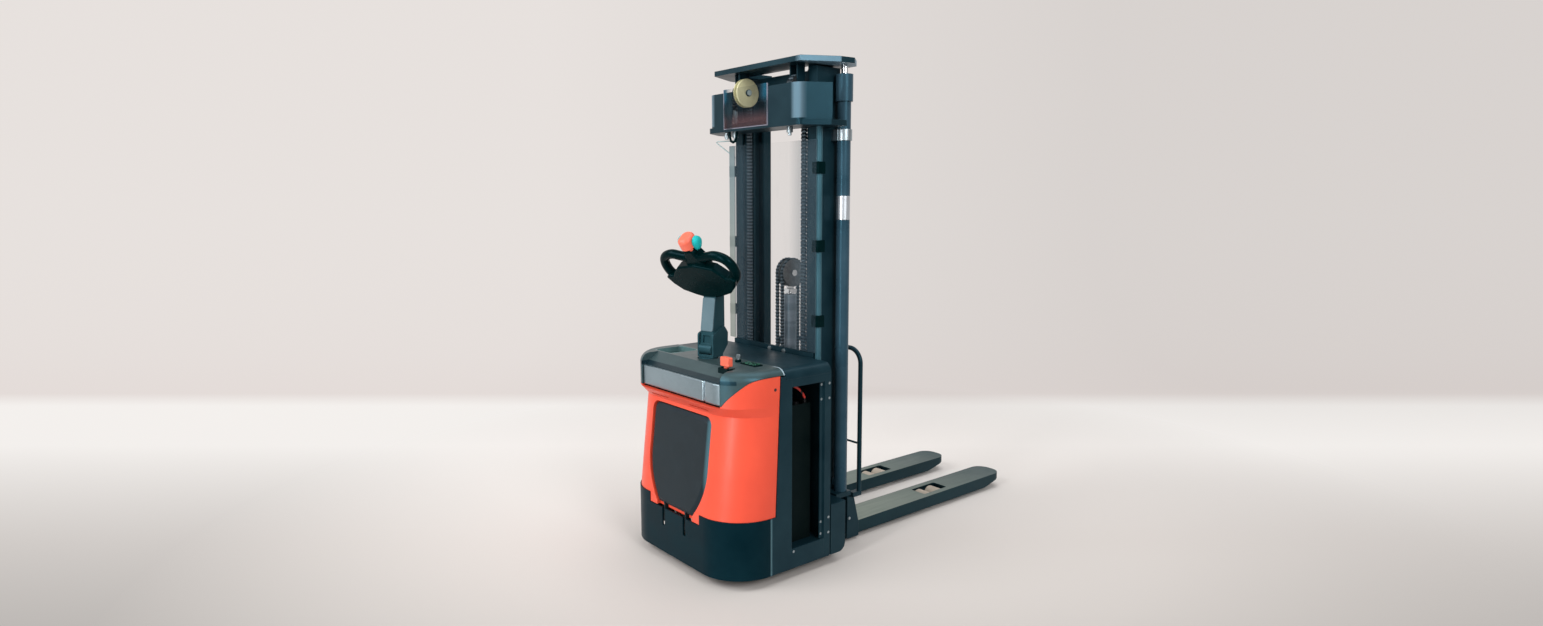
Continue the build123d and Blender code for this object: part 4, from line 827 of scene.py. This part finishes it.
# Small trims: name of each piece, the body it rides on, its finish and its solids
capGap = 0.0091  # from the hose pulley's face to just past the cap of its axle
hubLow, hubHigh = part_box("hose_pulley")
hub = (hubHigh[0] + capGap, (hubLow[1] + hubHigh[1]) / 2, (hubLow[2] + hubHigh[2]) / 2)
headRadius = 0.038  # of a lift cylinder's head
ramLow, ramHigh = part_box("lift_tubes")
ramAxis = (ramHigh[0] - headRadius, (ramLow[1] + ramHigh[1]) / 2)
rodPath = ((-0.286, -0.452, 1.9115), (-0.400, -0.469, 1.9125), (-0.411, -0.4705, 1.9115),
           (-0.414, -0.471, 1.908), (-0.409, -0.470, 1.904), (-0.286, -0.452, 1.829))
hosePath = ((-0.196, -0.553, 1.940), (-0.1935, -0.553, 1.915), (-0.186, -0.553, 1.900),
            (-0.170, -0.553, 1.893), (-0.152, -0.553, 1.899), (-0.142, -0.553, 1.916),
            (-0.140, -0.553, 1.940))
sleeves = ((1.9645, 0.0086, 0.0450), (1.9900, 0.0125, 0.0130),
           (anchor - 0.0335, 0.0123, 0.0330))  # foot, radius and length
trims = {
    "pulleyHub": ("middle_mast", "paleEdge", [disc(hub, radius=0.0125, length=0.0026, axis="X")]),
    "anchorSleeves": ("chassis", "zinc", [disc((*stud, low), radius, length, axis="Z")
                                          for low, radius, length in sleeves for stud in studs]),
    "ramBand": ("chassis", "paleBand", [disc((*ramAxis, 1.538), radius=0.0304, length=0.105, axis="Z")]),
    "bentRod": ("chassis", "paleEdge", [wire(rodPath, radius=0.0030)]),
    "hoseLoop": ("chassis", "black_plastic", [wire(hosePath, radius=0.0060)]),
    "hoseCoupling": ("chassis", "bright_steel", [
        disc((-0.2148, -0.556, 1.9085), radius=0.0085, length=0.031, axis="Z"),
        disc((-0.2148, -0.556, 1.916), radius=0.0115, length=0.012, axis="Z")]),
    "ramFitting": ("chassis", "bright_steel", [
        disc((0.300, -0.330, 0.312), radius=0.010, length=0.030, axis="Z"),
        disc((0.296, -0.330, 0.330), radius=0.008, length=0.030, axis="X")]),
    "barShadowStrip": ("chassis", "black_plastic", [
        slab(low=(-0.281, -0.9868, 0.7785), high=(0.307, -0.9845, 0.7865))]),
    "trayMat": ("chassis", "trayMat", [slab(low=(-0.320, -0.890, 0.8972), high=(-0.200, -0.760, 0.9030))]),
    "display": ("chassis", "displayGlass", [slab(low=(0.222, -0.808, 0.9331), high=(0.298, -0.769, 0.9350))]),
    "coverScrew": ("chassis", "dark_steel", [
        disc((0.4196, -0.790, 0.8465), radius=0.0065, length=0.0024, axis="X")]),
    "paleEdge": ("chassis", "paleEdge", [slab(low=(0.4236, -0.4785, 0.100), high=(0.42495, -0.4752, 0.495))]),
    "gussetBolts": ("carriage", "bright_steel", [
        disc((0.2921, -0.222, 0.117), radius=0.007, length=0.005, axis="X"),
        disc((-0.2971, -0.222, 0.117), radius=0.007, length=0.005, axis="X")]),
}
for name, (body, finish, parts) in trims.items():
    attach(addPiece(name, *joined(parts), finish), body)
print("bar and trims ready")


# Sweep of paper behind the truck: its shape, and its tone by depth into the picture and across the wall, with
# painted light and shade
sweepLook = {"half": 26.0, "front": -9.0, "back": 4.0, "radius": 2.0, "height": 9.0, "wallFoot": 0.5,
             "floorRows": 12, "bendRows": 25, "wallRows": 6, "columns": 9}
paperLook = {"near": -1.4, "far": 6.6, "rise": 0.5, "clear": 1.5, "lost": 3.2,
             "across": (-3.0, 3.5), "wall": (1.0, 3.0), "dim": 0.86, "cloud": 0.4,
             "rough": (0.85, 0.95), "shine": 0.1, "glow": 1.0,
             "stops": ((0.0, (0.480, 0.455, 0.435, 1)), (0.13, (0.640, 0.605, 0.580, 1)),
                       (0.33, (0.900, 0.870, 0.845, 1)), (0.47, (0.905, 0.875, 0.850, 1)),
                       (0.525, (0.775, 0.715, 0.690, 1)), (0.80, (0.790, 0.740, 0.715, 1)),
                       (1.0, (0.800, 0.755, 0.730, 1)))}
turnAway = math.radians(cameraSetup["azimuth"])  # the sweep faces the camera


def studioPaper():
    # near the truck the paper is lit and keeps the shadow; further off it shows its tone, which holds painted
    # light and shade
    f, p = Finish("studioPaper"), paperLook
    depth = f.axis("Y") * math.cos(turnAway) - f.axis("X") * math.sin(turnAway) + f.axis("Z") * p["rise"]
    # painted light and shade: the tone is darker towards the camera, brightest on the floor just behind the
    # truck and less bright beyond
    tone = f.node("ShaderNodeValToRGB", {"stops": p["stops"]}, {0: f.ramp(depth, p["near"], p["far"])})
    level = f.axis("X") * math.cos(turnAway) + f.axis("Y") * math.sin(turnAway)
    # painted shade: further off, the paper dims towards the right
    level = f.ramp(level, *p["across"]) * f.ramp(depth, *p["wall"])
    tone = f.mix(level, tone, f.mix(p["dim"], (0, 0, 0), tone))
    rough = f.vary(f.noise(p["cloud"], 3), *p["rough"])
    f.shade(Base_Color=tone, Roughness=rough, Specular_IOR_Level=p["shine"])
    seen = f.node("ShaderNodeLightPath", out="Is Camera Ray")
    for ray in ("Is Glossy Ray", "Is Transmission Ray"):
        seen = seen + f.node("ShaderNodeLightPath", out=ray)
    reach = f.node("ShaderNodeVectorMath", {"operation": "LENGTH"}, {0: f.place}, "Value")
    glow = f.node("ShaderNodeEmission", None, {"Color": tone, "Strength": p["glow"]})
    lit, share = Value(f, f.surface.outputs[0]), seen * f.ramp(reach, p["clear"], p["lost"])
    both = f.node("ShaderNodeMixShader", None, {0: share, 1: lit, 2: glow})
    behind = f.node("ShaderNodeNewGeometry", out="Backfacing")  # from behind, the sweep is open
    both = f.node("ShaderNodeMixShader", None, {0: behind, 1: both, 2: f.node("ShaderNodeBsdfTransparent")})
    f.feed(f.tree.nodes["Material Output"].inputs["Surface"], both)
    return f.material


def studio():
    # floor and wall as one sweep: flat, then a quarter circle, then upright
    s = sweepLook
    bend = np.linspace(0, math.pi / 2, s["bendRows"])[1:]
    wall = s["back"] + s["radius"]
    along = np.r_[np.linspace(s["front"], s["back"], s["floorRows"]), s["back"] + s["radius"] * np.sin(bend),
                  np.full(s["wallRows"], wall)]
    rise = np.r_[np.zeros(s["floorRows"]), s["radius"] * (1 - np.cos(bend)),
                 np.linspace(s["radius"] + s["wallFoot"], s["height"], s["wallRows"])]
    across = np.linspace(-s["half"], s["half"], s["columns"])
    x = across[None, :] * math.cos(turnAway) - along[:, None] * math.sin(turnAway)
    y = across[None, :] * math.sin(turnAway) + along[:, None] * math.cos(turnAway)
    points = np.stack([x, y, np.broadcast_to(rise[:, None], x.shape)], -1).reshape(-1, 3)
    mesh = bpy.data.meshes.new("studioSweep")
    mesh.from_pydata(points.tolist(), [], gridFaces(len(along), len(across), False).tolist())
    mesh.shade_smooth()
    mesh.materials.append(studioPaper())
    sweep = bpy.data.objects.new("studioSweep", mesh)
    bpy.context.scene.collection.objects.link(sweep)


def softLight(name, place, aim, wide, tall, power):
    # an area lamp turned from its place towards its aim
    lamp = bpy.data.lights.new(name, "AREA")
    lamp.shape, lamp.size, lamp.size_y, lamp.energy = "RECTANGLE", wide, tall, power
    holder = bpy.data.objects.new(name, lamp)
    bpy.context.scene.collection.objects.link(holder)
    holder.location = place
    away = np.array(place) - np.array(aim)
    flat = math.hypot(away[0], away[1])
    holder.rotation_euler = (math.atan2(flat, away[2]), 0, math.atan2(away[0], -away[1]))


studio()
softLight("keyLight", place=(-1.5, -5.0, 4.2), aim=(0, -0.6, 0.8), wide=3.0, tall=3.0, power=195)
softLight("fillLight", place=(5.5, -1.5, 3.6), aim=(0, 0, 0.9), wide=2.2, tall=2.2, power=180)
softLight("topLight", place=(0.5, 0.5, 5.5), aim=(0, 0, 1), wide=4.0, tall=4.0, power=130)
softLight("stripLight", place=(1.05, -4.3, 1.9), aim=(0.3, -0.7, 1.9), wide=0.45, tall=3.8, power=90)
airLook = {"Color": (0.80, 0.77, 0.76, 1), "Strength": 0.35}
world = bpy.data.worlds.new("studioAir")
bpy.context.scene.world = world
world.use_nodes = True
for key, given in airLook.items():
    world.node_tree.nodes["Background"].inputs[key].default_value = given
bpy.context.scene.view_settings.view_transform = "Standard"
print("studio and camera ready")
